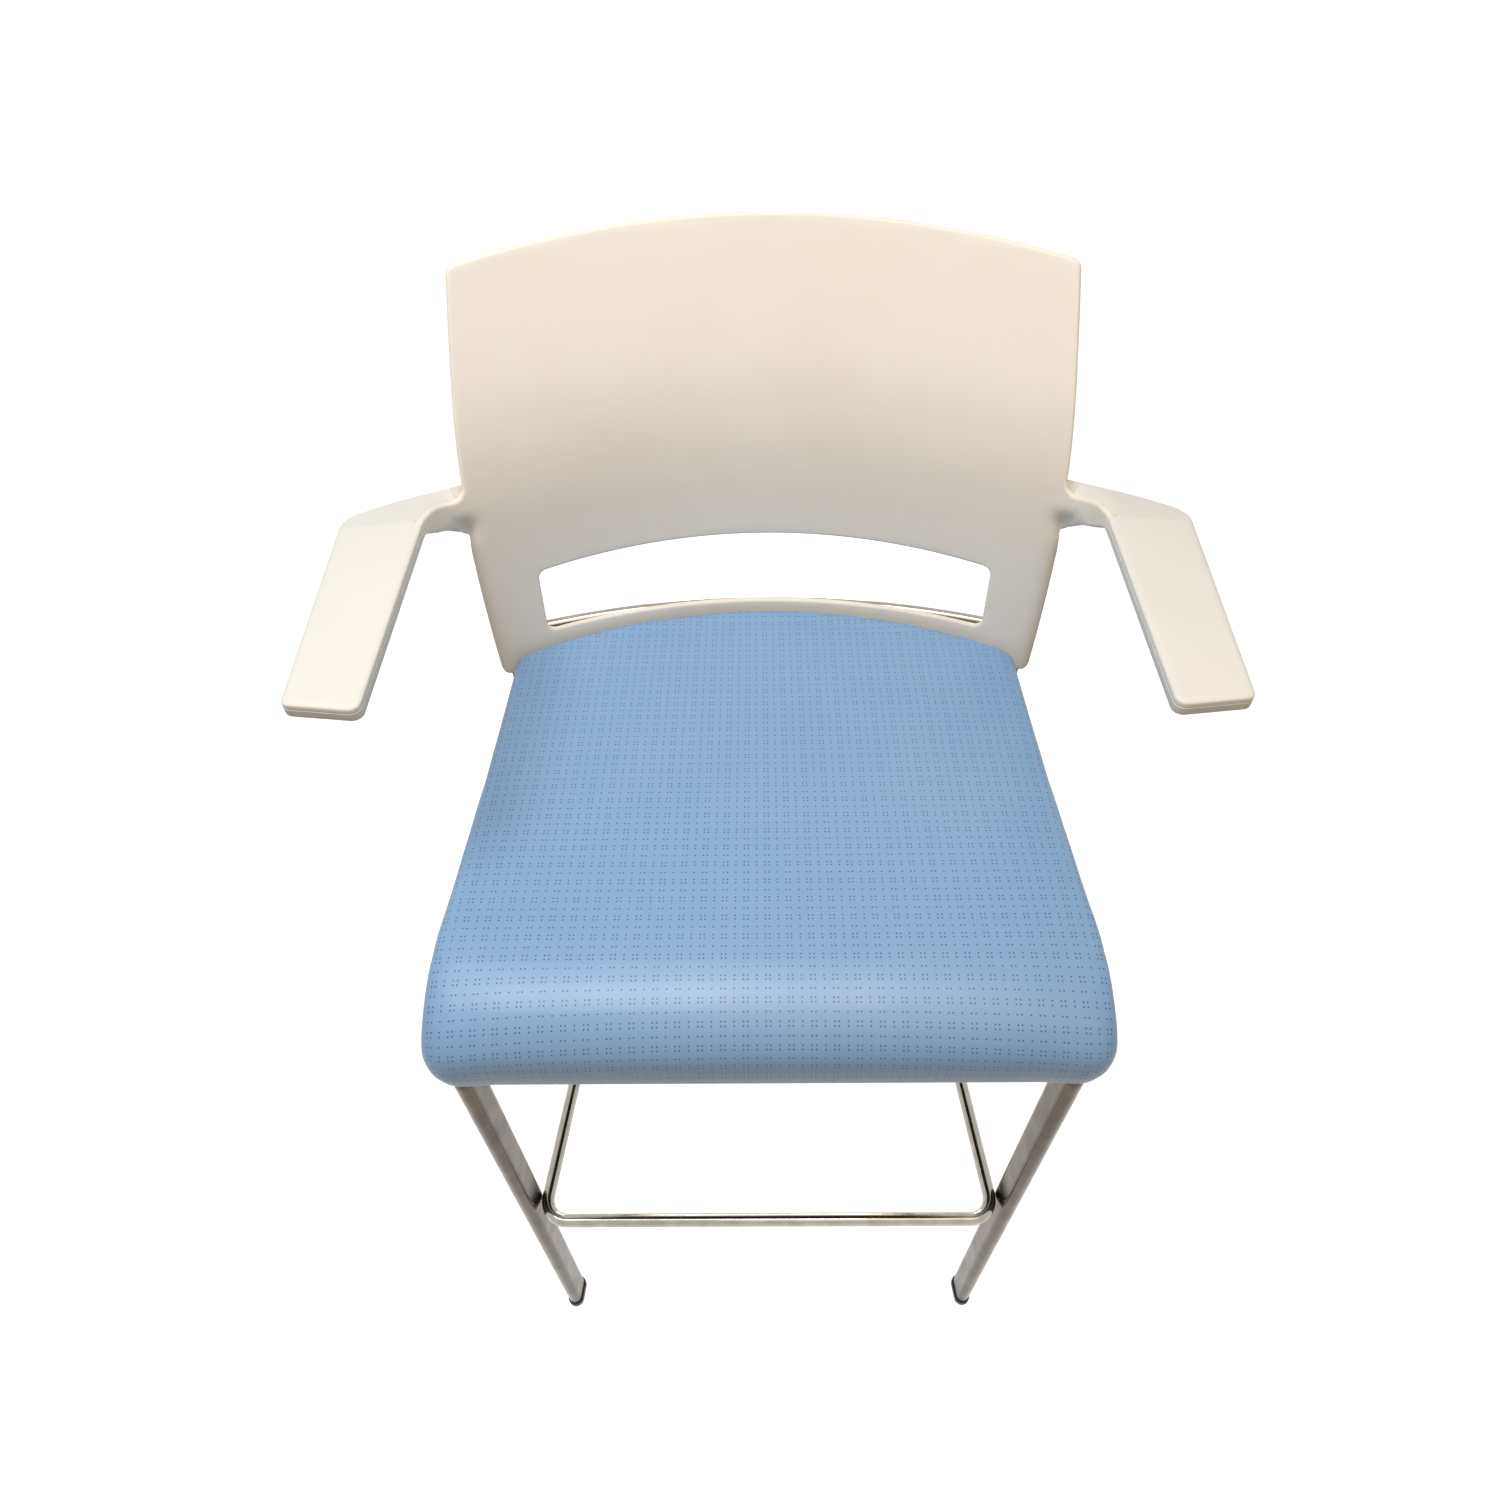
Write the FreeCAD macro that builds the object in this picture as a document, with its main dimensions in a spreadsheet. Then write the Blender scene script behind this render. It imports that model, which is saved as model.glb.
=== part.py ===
"""Counter stool: bent oval-tube side frames, a foot ring, a padded seat and a reclining back with arms.

Millimetres. X is to the sitter's left and right, +Y runs to the rear, +Z is up, and the floor is at Z = 0.
"""
import FreeCAD
import Part
import Sketcher
import math
import os

# Driving dimensions, in millimetres and degrees
SIZES = {
    # whole object
    "overall_depth": 540,
    # side frames: flat-sided oval tube bent to an upside-down U
    "tube_depth": 30,
    "tube_width": 15,
    "tube_wall": 1.8,
    "leg_spread": 477.4,
    "leg_setback": 44,
    "toe_in_angle": 5.5,
    "rear_slant_angle": 7,
    "bend_radius": 50,
    # glides
    "glide_height": 8,
    "glide_overhang": 1.5,
    "glide_plug_length": 20,
    "glide_clearance": 0.2,
    # foot ring
    "ring_height": 321,
    "ring_diameter": 12.7,
    "ring_corner_radius": 22,
    "ring_front_lead": 15,
    "ring_rear_lead": 15,
    "weld_gap": 0.1,
    # cross tubes under the seat
    "cross_diameter": 22,
    "cross_wall": 2,
    "front_cross_place": 64,
    "rear_cross_place": 322,
    # seat cushion
    "seat_height": 762,
    "seat_thickness": 72,
    "seat_front_overhang": 6.3,
    "seat_rear_inset": 3.5,
    "seat_waist": 2.5,
    "seat_front_radius": 24,
    "seat_rear_radius": 22,
    "seat_back_gap": 2.5,
    "nose_reach": 110,
    "shoulder_height": 44,
    "side_reach": 12,
    "rear_reach": 5,
    "seat_edge_height": 16,
    "seat_crown": 2.5,
    "crown_reach": 45,
    "seat_tuck": 6,
    "seat_end_tuck": 2,
    "seat_middle_tuck": 1.5,
    "cover_thickness": 1.2,
    "cover_lip": 24,
    "foam_clearance": 0.3,
    "pan_thickness": 12,
    "pan_inset": 9,
    # seat mounting plates, screws and tee nuts
    "plate_thickness": 3,
    "plate_length": 56,
    "plate_reach": 36,
    "plate_corner_radius": 5,
    "plate_hole_reach": 25,
    "front_plate_place": 110,
    "rear_plate_place": 270,
    "seat_screw_diameter": 6,
    "seat_screw_head_diameter": 13,
    "seat_screw_head_height": 4,
    "screw_clearance": 0.3,
    "screw_tip_gap": 1,
    "tee_barrel_diameter": 8,
    "tee_flange_diameter": 19,
    "tee_flange_thickness": 1.5,
    "tee_barrel_length": 9,
    "thread_clearance": 0.05,
    # back shell
    "back_bottom_drop": 25,
    "back_height": 351.5,
    "back_top_rise": 16.5,
    "back_top_margin": 1.5,
    "back_middle_margin": 11,
    "back_bottom_margin": 14.5,
    "back_corner_radius": 7,
    "back_pivot_offset": 45,
    "back_plan_radius": 520,
    "back_thickness": 5.5,
    "back_lean_angle": 4.6,
    "back_recline_angle": 22.8,
    "back_bend_rise": 208,
    "back_bend_radius": 350,
    "slot_bottom_rise": 39,
    "slot_height": 65,
    "slot_top_rise": 11,
    "slot_end_margin": 35,
    "slot_corner_radius": 8,
    # uprights inside the shell's sleeves, and their pivots
    "upright_depth": 24,
    "upright_width": 12,
    "upright_standoff": 31.2,
    "upright_top_rise": 147,
    "pivot_lead": 40.4,
    "sleeve_wall": 2.5,
    "sleeve_clearance": 0.2,
    "sleeve_crown": 12,
    "hub_diameter": 36,
    "bush_diameter": 28,
    "bush_bore": 14,
    "pivot_clearance": 0.05,
    "hub_gap": 0.5,
    "pivot_bolt_diameter": 10,
    "pivot_head_diameter": 18,
    "pivot_head_height": 5.5,
    "pivot_socket_width": 6,
    "pivot_socket_depth": 3.3,
    "pivot_washer_diameter": 32,
    "pivot_washer_thickness": 1.5,
    "pivot_thread_length": 12,
    "bracket_diameter": 30,
    "tail_width": 18,
    "stop_radius": 26,
    "stop_pin_diameter": 6,
    "stop_clearance": 0.25,
    "recline_range_angle": 10,
    # curved bar behind the strip under the slot
    "bar_diameter": 10,
    "bar_rise": 24.4,
    "bar_radius": 663,
    "bar_setback": 11,
    "bar_clearance": 0.4,
    # screws through the sleeves into the uprights
    "back_screw_diameter": 5,
    "back_screw_head_diameter": 9.5,
    "back_screw_head_height": 3,
    "back_screw_grip": 10,
    "back_screw_low": 128,
    "back_screw_high": 188,
    # arms
    "arm_rise": 169,
    "arm_cap_thickness": 5,
    "arm_beam_thickness": 7,
    "arm_gap": 21,
    "arm_splay": 6,
    "arm_front_width": 52,
    "arm_rear_width": 62.5,
    "arm_reach": 261,
    "arm_front_skew": 6,
    "arm_crease_lead": 54,
    "arm_crease_skew": 12,
    "arm_corner_radius": 9,
    "arm_edge_radius": 2.5,
    "neck_top_drop": 13,
    "neck_bottom_drop": 59,
    "neck_sink": 9,
    "neck_outer_lift": 8,
    "core_width": 22,
    "core_thickness": 4,
    "core_clearance": 0.2,
    "core_margin": 24,
    "arm_screw_diameter": 4,
    "arm_screw_head_diameter": 8,
    "arm_screw_head_height": 2.2,
    "arm_screw_bite": 3.5,
    "arm_screw_margin": 22,
}

SIDES = {"left": -1, "right": 1}
X_AXIS = FreeCAD.Vector(1, 0, 0)
Z_AXIS = FreeCAD.Vector(0, 0, 1)
BEYOND = 400  # reach of cutting tools past the pieces that they trim
LEAST_LEVEL = 0.5  # least height between two sections of the cushion
SHOULDER_STEPS = 8  # sections up the rounded nose of the cushion
CROWN_SHARES = (0.7, 1)  # shares of the crown that are reached at one crown reach inwards and at two
WAIST_END = 1.5  # straight length at each end of the cushion's sides, in front corner radii
SPARE_TURN = 5  # degrees that the back is revolved past its trimmed sides
NECK_TURN_IN = 0.35  # where the neck turns: share of the way from the crease to its root, across
NECK_TURN_BACK = 0.62  # and front to back
NECK_BULGE = 0.2  # rearward swell of the neck's outer edge, as a share of its run

doc = FreeCAD.newDocument("counter_stool")
sheet = doc.addObject("Spreadsheet::Sheet", "sizes")
for row, (alias, number) in enumerate(SIZES.items(), start=1):
    sheet.set(f"A{row}", alias)
    sheet.set(f"B{row}", str(number))
    sheet.setAlias(f"B{row}", alias)
doc.recompute()

nodes = {}


def size(alias):
    """Value of one driving dimension, as the spreadsheet holds it."""
    return float(getattr(sheet, alias))


def vec(x, y, z=0.0):
    return FreeCAD.Vector(x, y, z)


def place(x, y, z, axis=Z_AXIS, angle=0.0):
    return FreeCAD.Placement(vec(x, y, z), FreeCAD.Rotation(axis, angle))


def tan(degrees):
    return math.tan(math.radians(degrees))


# Places worked out from the driving dimensions
half_depth = size("overall_depth") / 2
seat_bottom = size("seat_height") - size("seat_thickness")
rail_top = seat_bottom - size("plate_thickness")
rail_height = rail_top - size("tube_depth") / 2
front_leg_y = -half_depth + size("leg_setback")
glide_half_depth = size("tube_depth") / 2 + size("glide_overhang")
toe_cos = math.cos(math.radians(size("toe_in_angle")))
slant_cos = math.cos(math.radians(size("rear_slant_angle")))
rear_foot_run = (half_depth - glide_half_depth / slant_cos - front_leg_y) / toe_cos
rail_run = rear_foot_run - rail_height * tan(size("rear_slant_angle"))

# The pivots stand beside the rear ends of the seat rails, and the back hangs on them
toe_sin = math.sin(math.radians(size("toe_in_angle")))
pivot_run = rail_run - size("pivot_lead")
pivot_y = front_leg_y + pivot_run * toe_cos
upright_x = size("leg_spread") / 2 - pivot_run * toe_sin + size("upright_standoff")
lean_cos = math.cos(math.radians(size("back_lean_angle")))
back_bottom = size("seat_height") - size("back_bottom_drop")
back_top = back_bottom + size("back_height")
back_front_y = pivot_y + size("back_pivot_offset")
plan_axis_y = back_front_y - size("back_plan_radius")
back_half_width = upright_x + size("back_middle_margin")
bar_y = back_front_y + size("bar_setback")
sleeve_start = (back_bottom - rail_height) / lean_cos
upright_length = sleeve_start + size("upright_top_rise") / lean_cos

# The arms stand out beside the back and reach forwards from it
arm_top = size("seat_height") + size("arm_rise")
beam_top = arm_top - size("arm_cap_thickness")
beam_bottom = beam_top - size("arm_beam_thickness")
arm_inner_front_x = upright_x + size("arm_gap")
arm_inner_rear_x = arm_inner_front_x + size("arm_splay")
arm_outer_front_x = arm_inner_front_x + size("arm_front_width")
arm_outer_rear_x = arm_inner_rear_x + size("arm_rear_width")
arm_inner_front_y = pivot_y - size("arm_reach")
arm_outer_front_y = arm_inner_front_y + size("arm_front_skew")
arm_inner_crease_y = pivot_y - size("arm_crease_lead")
arm_outer_crease_y = arm_inner_crease_y - size("arm_crease_skew")


def rail_frame(side):
    """Frame of one side frame: origin under the front leg, Y rearwards along the toed-in seat rail, Z up."""
    return place(side * size("leg_spread") / 2, front_leg_y, 0, Z_AXIS, side * size("toe_in_angle"))


def upright_frame(side):
    """Frame of one upright: origin on the pivot axis, X along it, Z up the leaning upright."""
    return place(side * upright_x, pivot_y, rail_height, X_AXIS, -size("back_lean_angle"))


# Outline helpers
def rounded_path(corners, closed=True):
    """Lines and tangent arcs along corners (x, y, radius); a radius of zero leaves the corner sharp."""
    count = len(corners)
    cuts = []
    for index, (x, y, radius) in enumerate(corners):
        corner = vec(x, y)
        if not closed and index in (0, count - 1):
            cuts.append((corner, None, corner))
            continue
        to_last = vec(*corners[index - 1][:2]).sub(corner).normalize()
        to_next = vec(*corners[(index + 1) % count][:2]).sub(corner).normalize()
        inner_angle = to_last.getAngle(to_next)
        if radius <= 0 or inner_angle > math.pi - 1e-6:
            cuts.append((corner, None, corner))
            continue
        run = radius / math.tan(inner_angle / 2)
        middle = (to_last + to_next).normalize()
        depth = radius / math.sin(inner_angle / 2) - radius
        cuts.append((corner + to_last * run, corner + middle * depth, corner + to_next * run))
    geometry = []
    for index, (start, crown, end) in enumerate(cuts):
        if crown is not None:
            geometry.append(Part.Arc(start, crown, end))
        if closed or index < count - 1:
            following = cuts[(index + 1) % count][0]
            if following.sub(end).Length > 1e-6:
                geometry.append(Part.LineSegment(end, following))
    return geometry


def arch(half_span, rise, end_gap):
    """Apex rise and radius of a gable that is rounded all but for end_gap at each end and crowns at rise."""
    share = 1 - end_gap / half_span
    apex = rise / (1 - share / 2)
    return apex, share * math.hypot(half_span, apex) * half_span / apex


def obround(depth, width):
    """Flat-sided oval about the origin, its depth along Y."""
    half = width / 2
    reach = depth / 2 - half
    return [
        Part.LineSegment(vec(half, -reach), vec(half, reach)),
        Part.Arc(vec(half, reach), vec(0, reach + half), vec(-half, reach)),
        Part.LineSegment(vec(-half, reach), vec(-half, -reach)),
        Part.Arc(vec(-half, -reach), vec(0, -reach - half), vec(half, -reach)),
    ]


def box_corners(x0, y0, x1, y1, radius=0.0):
    return [(x0, y0, radius), (x1, y0, radius), (x1, y1, radius), (x0, y1, radius)]


# Feature helpers
def new_body(label):
    body = doc.addObject("PartDesign::Body", label)
    body.Label = label
    return body


def sketch_on(body, plane, geometry=(), offset=FreeCAD.Placement()):
    """Sketch on one of the body's own origin planes, moved by offset in that plane's frame."""
    sketch = body.newObject("Sketcher::SketchObject", body.Name + "_sketch")
    support = [item for item in body.Origin.OriginFeatures if item.Role == plane][0]
    sketch.AttachmentSupport = [(support, "")]
    sketch.MapMode = "FlatFace"
    sketch.AttachmentOffset = offset
    if geometry:
        sketch.addGeometry(list(geometry), False)
    return sketch


def add_circle(sketch, diameter, x=0.0, y=0.0):
    """Circle whose diameter is an expression of the spreadsheet's cells."""
    index = sketch.addGeometry(Part.Circle(vec(x, y), Z_AXIS, sketch.evalExpression(diameter) / 2))
    number = sketch.addConstraint(Sketcher.Constraint("Diameter", index, sketch.evalExpression(diameter)))
    sketch.setExpression(f"Constraints[{number}]", diameter)


def set_length(feature, length):
    """Length given as an expression of the spreadsheet's cells, or as a number worked out from them."""
    if isinstance(length, str):
        feature.setExpression("Length", length)
    else:
        feature.Length = length


def pad(body, sketch, length, back=False):
    feature = body.newObject("PartDesign::Pad", body.Name + "_pad")
    feature.Profile = sketch
    feature.Reversed = back
    set_length(feature, length)
    return feature


def pocket(body, sketch, length=None, back=False):
    """Cut into the body, right through where no length is given, and check that it took something away."""
    doc.recompute()
    before = body.Shape.Volume
    feature = body.newObject("PartDesign::Pocket", body.Name + "_pocket")
    feature.Profile = sketch
    feature.Reversed = back
    if length is None:
        feature.Type = "ThroughAll"
    else:
        set_length(feature, length)
    doc.recompute()
    if not body.Shape.Volume < before:
        raise RuntimeError(f"a pocket of {body.Label} cuts nothing")
    return feature


def pipe(body, kind, profile, spine):
    feature = body.newObject(kind, body.Name + "_pipe")
    feature.Profile = profile
    feature.Spine = spine
    return feature


def revolve_about_vertical(body, sketch, half_angle):
    feature = body.newObject("PartDesign::Revolution", body.Name + "_revolution")
    feature.Profile = sketch
    feature.ReferenceAxis = (sketch, ["V_Axis"])
    feature.Angle = 2 * half_angle
    feature.Midplane = True
    return feature


def cylinder(label, diameter, length, where):
    """Part cylinder along the local Z of where, its sizes bound to expressions."""
    solid = doc.addObject("Part::Cylinder", label)
    solid.setExpression("Radius", f"({diameter}) / 2")
    solid.setExpression("Height", length)
    solid.Placement = where
    return solid


def block(label, low, high, where=FreeCAD.Placement()):
    solid = doc.addObject("Part::Box", label)
    solid.Length = high[0] - low[0]
    solid.Width = high[1] - low[1]
    solid.Height = high[2] - low[2]
    solid.Placement = where.multiply(place(*low))
    return solid


def cut(label, base, *tools):
    """Base less each of the tools in turn."""
    for index, tool in enumerate(tools):
        feature = doc.addObject("Part::Cut", f"{label}_cut_{index}")
        feature.Base = base
        feature.Tool = tool
        base = feature
    base.Label = label
    return base


def fuse(label, *pieces):
    feature = doc.addObject("Part::MultiFuse", label + "_fuse")
    feature.Shapes = list(pieces)
    feature.Label = label
    return feature


def group(label, members):
    """Identical pieces that share one node, as separate solids."""
    feature = doc.addObject("Part::Compound", label + "_group")
    feature.Links = members
    feature.Label = label
    return feature


def keep(label, item):
    """Register a finished piece under its node name."""
    item.Label = label
    nodes[label] = item
    return item


def along_x(where, side, start):
    """Frame at start along the pivot axis of where, its Z pointing outwards on that side."""
    turned = place(side * start, 0, 0, FreeCAD.Vector(0, 1, 0), side * 90)
    return where.multiply(turned)


# Side frames
def side_frame(name, side):
    body = new_body(f"{name}_side_frame")
    body.Placement = rail_frame(side)
    foot = size("glide_height")
    slant = math.radians(size("rear_slant_angle"))
    route = [
        (0, foot, 0),
        (0, rail_height, size("bend_radius")),
        (rail_run, rail_height, size("bend_radius")),
        (rear_foot_run - foot * math.sin(slant), foot * math.cos(slant), 0),
    ]
    spine = sketch_on(body, "YZ_Plane", rounded_path(route, closed=False))
    start = place(0, 0, foot)
    depth, width, wall = size("tube_depth"), size("tube_width"), size("tube_wall")
    outside = sketch_on(body, "XY_Plane", obround(depth, width), start)
    inside = sketch_on(body, "XY_Plane", obround(depth - 2 * wall, width - 2 * wall), start)
    pipe(body, "PartDesign::AdditivePipe", outside, spine)
    pipe(body, "PartDesign::SubtractivePipe", inside, spine)
    keep(body.Label, body)


def glide(name, where):
    """Nylon foot with a plug in the tube's end, trimmed level with the floor."""
    body = new_body(name + "_moulding")
    body.Placement = where
    overhang = 2 * size("glide_overhang")
    inset = 2 * (size("tube_wall") + size("glide_clearance"))
    depth, width = size("tube_depth"), size("tube_width")
    below = size("tube_depth")
    foot = sketch_on(body, "XY_Plane", obround(depth + overhang, width + overhang), place(0, 0, -below))
    pad(body, foot, "sizes.glide_height + sizes.tube_depth")
    seat = place(0, 0, size("glide_height"))
    plug = sketch_on(body, "XY_Plane", obround(depth - inset, width - inset), seat)
    pad(body, plug, "sizes.glide_plug_length")
    floor = block(name + "_floor", (-BEYOND, -BEYOND, -BEYOND), (BEYOND, BEYOND, 0))
    keep(name, cut(name, body, floor))


def rail_block(label, side, start, end):
    """Slab along a seat rail between two distances outwards from its middle plane."""
    low, high = sorted((side * start, side * end))
    return block(label, (low, -BEYOND, -BEYOND), (high, 2 * BEYOND, 3 * BEYOND), rail_frame(side))


def foot_ring():
    """One bent rod, closed in a ring, whose sides lie along the inner faces of the legs."""
    body = new_body("foot_ring")
    radius = size("ring_corner_radius")
    inward = size("tube_width") / 2 + size("weld_gap") + size("ring_diameter") / 2
    slant_run = (rail_height - size("ring_height")) * tan(size("rear_slant_angle"))
    rear = rail_run + slant_run + size("ring_rear_lead")
    front_right = rail_frame(1).multVec(vec(-inward, -size("ring_front_lead")))
    rear_right = rail_frame(1).multVec(vec(-inward, rear))
    route = [
        (0, front_right.y, 0),
        (front_right.x, front_right.y, radius),
        (rear_right.x, rear_right.y, radius),
        (-rear_right.x, rear_right.y, radius),
        (-front_right.x, front_right.y, radius),
    ]
    spine = sketch_on(body, "XY_Plane", rounded_path(route), place(0, 0, size("ring_height")))
    section = sketch_on(body, "YZ_Plane", offset=place(front_right.y, size("ring_height"), 0))
    add_circle(section, "sizes.ring_diameter")
    pipe(body, "PartDesign::AdditivePipe", section, spine)
    keep("foot_ring", body)


def cross_tube(name, run):
    """Round tube between the seat rails, its ends cut to their inner faces."""
    y = rail_frame(1).multVec(vec(0, run)).y
    body = new_body(name + "_stock")
    half = size("leg_spread") / 2
    section = sketch_on(body, "YZ_Plane", offset=place(y, rail_height, -half))
    add_circle(section, "sizes.cross_diameter")
    add_circle(section, "sizes.cross_diameter - 2 * sizes.cross_wall")
    pad(body, section, "sizes.leg_spread")
    inner_face = -size("tube_width") / 2
    tools = [rail_block(f"{name}_{key}_end", side, inner_face, BEYOND) for key, side in SIDES.items()]
    keep(name, cut(name, body, *tools))


# Seat
def seat_corners(front, side, rear):
    """Plan corners of the cushion, drawn in from its widest outline by a distance for each edge."""
    nose_y = -half_depth + front
    rear_radius = size("back_plan_radius") - size("seat_back_gap") - rear
    front_x = size("leg_spread") / 2 + size("seat_front_overhang") - side
    rear_x = upright_x - size("seat_rear_inset") - side
    tangent_x = rear_x - size("seat_rear_radius")
    spread = math.asin(tangent_x / rear_radius)
    apex_y = plan_axis_y + rear_radius / math.cos(spread)
    rear_y = apex_y - rear_x * math.tan(spread)
    half_length = (rear_y - nose_y) / 2
    front_radius = min(size("seat_front_radius"), half_length / 2)
    corner_radius = min(size("seat_rear_radius"), half_length / 2)
    waist, waist_radius = arch(half_length, size("seat_waist"), WAIST_END * front_radius)
    waist_x = (front_x + rear_x) / 2 - waist
    waist_y = (nose_y + rear_y) / 2
    return [
        (-front_x, nose_y, front_radius),
        (front_x, nose_y, front_radius),
        (waist_x, waist_y, waist_radius),
        (rear_x, rear_y, corner_radius),
        (0, apex_y, rear_radius),
        (-rear_x, rear_y, corner_radius),
        (-waist_x, waist_y, waist_radius),
    ]


def cushion_levels():
    """Heights above the seat's bottom edge, with the draw-in of front, sides and rear at each."""
    end_tuck = size("seat_end_tuck")
    shoulder, edge = size("shoulder_height"), size("seat_edge_height")
    nose, side, rear = size("nose_reach"), size("side_reach"), size("rear_reach")
    top = size("seat_thickness") - size("seat_crown")
    levels = [
        (0, end_tuck, size("seat_tuck"), end_tuck),
        ((top - shoulder) / 2, 0, size("seat_middle_tuck"), 0),
    ]
    for step in range(SHOULDER_STEPS + 1):
        turn = math.pi / 2 * step / SHOULDER_STEPS
        rise = top - shoulder + shoulder * math.sin(turn)
        lift = max(1 - (top - rise) / edge, 0)
        inward = 1 - math.sqrt(1 - lift ** 2)
        levels.append((rise, nose * (1 - math.cos(turn)), side * inward, rear * inward))
    for count, share in enumerate(CROWN_SHARES, start=1):
        reach = count * size("crown_reach")
        levels.append((top + share * size("seat_crown"), nose + reach, side + reach, rear + reach))
    return levels


def cushion_sections(body, inward, floor):
    """Sketches of the cushion's levels, drawn in by a thickness, above a floor over its bottom edge."""
    sections = []
    last = -1.0
    for rise, front, side, rear in cushion_levels():
        height = max(rise - inward, floor)
        if height < last + LEAST_LEVEL:
            continue
        last = height
        corners = seat_corners(front + inward, side + inward, rear + inward)
        level = place(0, 0, seat_bottom + height)
        sections.append(sketch_on(body, "XY_Plane", rounded_path(corners), level))
    return sections


def loft(body, kind, sections):
    feature = body.newObject(kind, body.Name + "_loft")
    feature.Profile = sections[0]
    feature.Sections = sections[1:]
    feature.Ruled = True
    return feature


def seat_cover():
    """Vinyl cover: the cushion's skin, turned under the pan to a lip."""
    body = new_body("seat_cover")
    thickness = size("cover_thickness")
    loft(body, "PartDesign::AdditiveLoft", cushion_sections(body, 0, 0))
    loft(body, "PartDesign::SubtractiveLoft", cushion_sections(body, thickness, thickness))
    opening = sketch_on(body, "XY_Plane", lip_opening(0), place(0, 0, seat_bottom))
    pocket(body, opening, "sizes.cover_thickness", True)
    keep("seat_cover", body)


def lip_opening(inward):
    """Plan outline inside the cover's lip, drawn in by a clearance."""
    reach = size("seat_tuck") + size("cover_lip") + inward
    return rounded_path(seat_corners(reach, reach, reach))


def seat_foam():
    body = new_body("seat_foam")
    inward = size("cover_thickness") + size("foam_clearance")
    floor = size("cover_thickness") + size("pan_thickness")
    loft(body, "PartDesign::AdditiveLoft", cushion_sections(body, inward, floor))
    keep("seat_foam", body)


def seat_fixings():
    """Plan places of the four seat screws, as (name, rail frame point)."""
    fixings = {}
    for side_name, side in SIDES.items():
        for end in ("front", "rear"):
            point = vec(-side * size("plate_hole_reach"), size(f"{end}_plate_place"))
            fixings[f"{side_name}_{end}"] = rail_frame(side).multVec(point)
    return fixings


def seat_pan():
    """Moulded pan under the foam, with sunk seats for the tee nuts."""
    body = new_body("seat_pan")
    inset = size("pan_inset")
    bottom = seat_bottom + size("cover_thickness")
    outline = rounded_path(seat_corners(inset, inset, inset))
    pad(body, sketch_on(body, "XY_Plane", outline, place(0, 0, bottom)), "sizes.pan_thickness")
    holes = sketch_on(body, "XY_Plane", offset=place(0, 0, bottom))
    seats = sketch_on(body, "XY_Plane", offset=place(0, 0, bottom + size("pan_thickness")))
    for point in seat_fixings().values():
        add_circle(holes, "sizes.tee_barrel_diameter + 2 * sizes.thread_clearance", point.x, point.y)
        add_circle(seats, "sizes.tee_flange_diameter + 2 * sizes.screw_clearance", point.x, point.y)
    pocket(body, holes, "sizes.pan_thickness", True)
    pocket(body, seats, "sizes.tee_flange_thickness")
    keep("seat_pan", body)


def seat_dust_cover():
    """Thin sheet inside the cover's lip, level with it."""
    body = new_body("seat_dust_cover")
    start = place(0, 0, seat_bottom)
    sheet_outline = sketch_on(body, "XY_Plane", lip_opening(size("foam_clearance")), start)
    pad(body, sheet_outline, "sizes.cover_thickness")
    holes = sketch_on(body, "XY_Plane", offset=start)
    for point in seat_fixings().values():
        add_circle(holes, "sizes.seat_screw_diameter + 2 * sizes.screw_clearance", point.x, point.y)
    pocket(body, holes, "sizes.cover_thickness", True)
    keep("seat_dust_cover", body)


def seat_plate(name, side, run):
    """Steel plate across the top of a rail, with a hole beside it for a seat screw."""
    body = new_body(name)
    body.Placement = rail_frame(side).multiply(place(0, run, rail_top))
    half_width, half_length = size("tube_width") / 2, size("plate_length") / 2
    inner = -side * (half_width + size("plate_reach"))
    low, high = sorted((side * half_width, inner))
    corners = box_corners(low, -half_length, high, half_length, size("plate_corner_radius"))
    pad(body, sketch_on(body, "XY_Plane", rounded_path(corners)), "sizes.plate_thickness")
    hole = sketch_on(body, "XY_Plane")
    hole_x = -side * size("plate_hole_reach")
    add_circle(hole, "sizes.seat_screw_diameter + 2 * sizes.screw_clearance", hole_x)
    pocket(body, hole, "sizes.plate_thickness", True)
    keep(name, body)


def seat_screws():
    screws = []
    nuts = []
    pan_top = seat_bottom + size("cover_thickness") + size("pan_thickness")
    for name, point in seat_fixings().items():
        screw = new_body(f"seat_screw_{name}")
        screw.Placement = place(point.x, point.y, rail_top)
        head = sketch_on(screw, "XY_Plane")
        add_circle(head, "sizes.seat_screw_head_diameter")
        pad(screw, head, "sizes.seat_screw_head_height", True)
        shank = sketch_on(screw, "XY_Plane")
        add_circle(shank, "sizes.seat_screw_diameter")
        stack = "sizes.plate_thickness + sizes.cover_thickness + sizes.pan_thickness"
        pad(screw, shank, stack + " - sizes.screw_tip_gap")
        screws.append(screw)
        nut = new_body(f"seat_tee_nut_{name}")
        nut.Placement = place(point.x, point.y, pan_top)
        flange = sketch_on(nut, "XY_Plane")
        add_circle(flange, "sizes.tee_flange_diameter")
        pad(nut, flange, "sizes.tee_flange_thickness", True)
        barrel = sketch_on(nut, "XY_Plane")
        add_circle(barrel, "sizes.tee_barrel_diameter")
        pad(nut, barrel, "sizes.tee_barrel_length", True)
        bore = sketch_on(nut, "XY_Plane")
        add_circle(bore, "sizes.seat_screw_diameter + 2 * sizes.thread_clearance")
        pocket(nut, bore)
        nuts.append(nut)
    keep("seat_screws", group("seat_screws", screws))
    keep("seat_tee_nuts", group("seat_tee_nuts", nuts))


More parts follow.
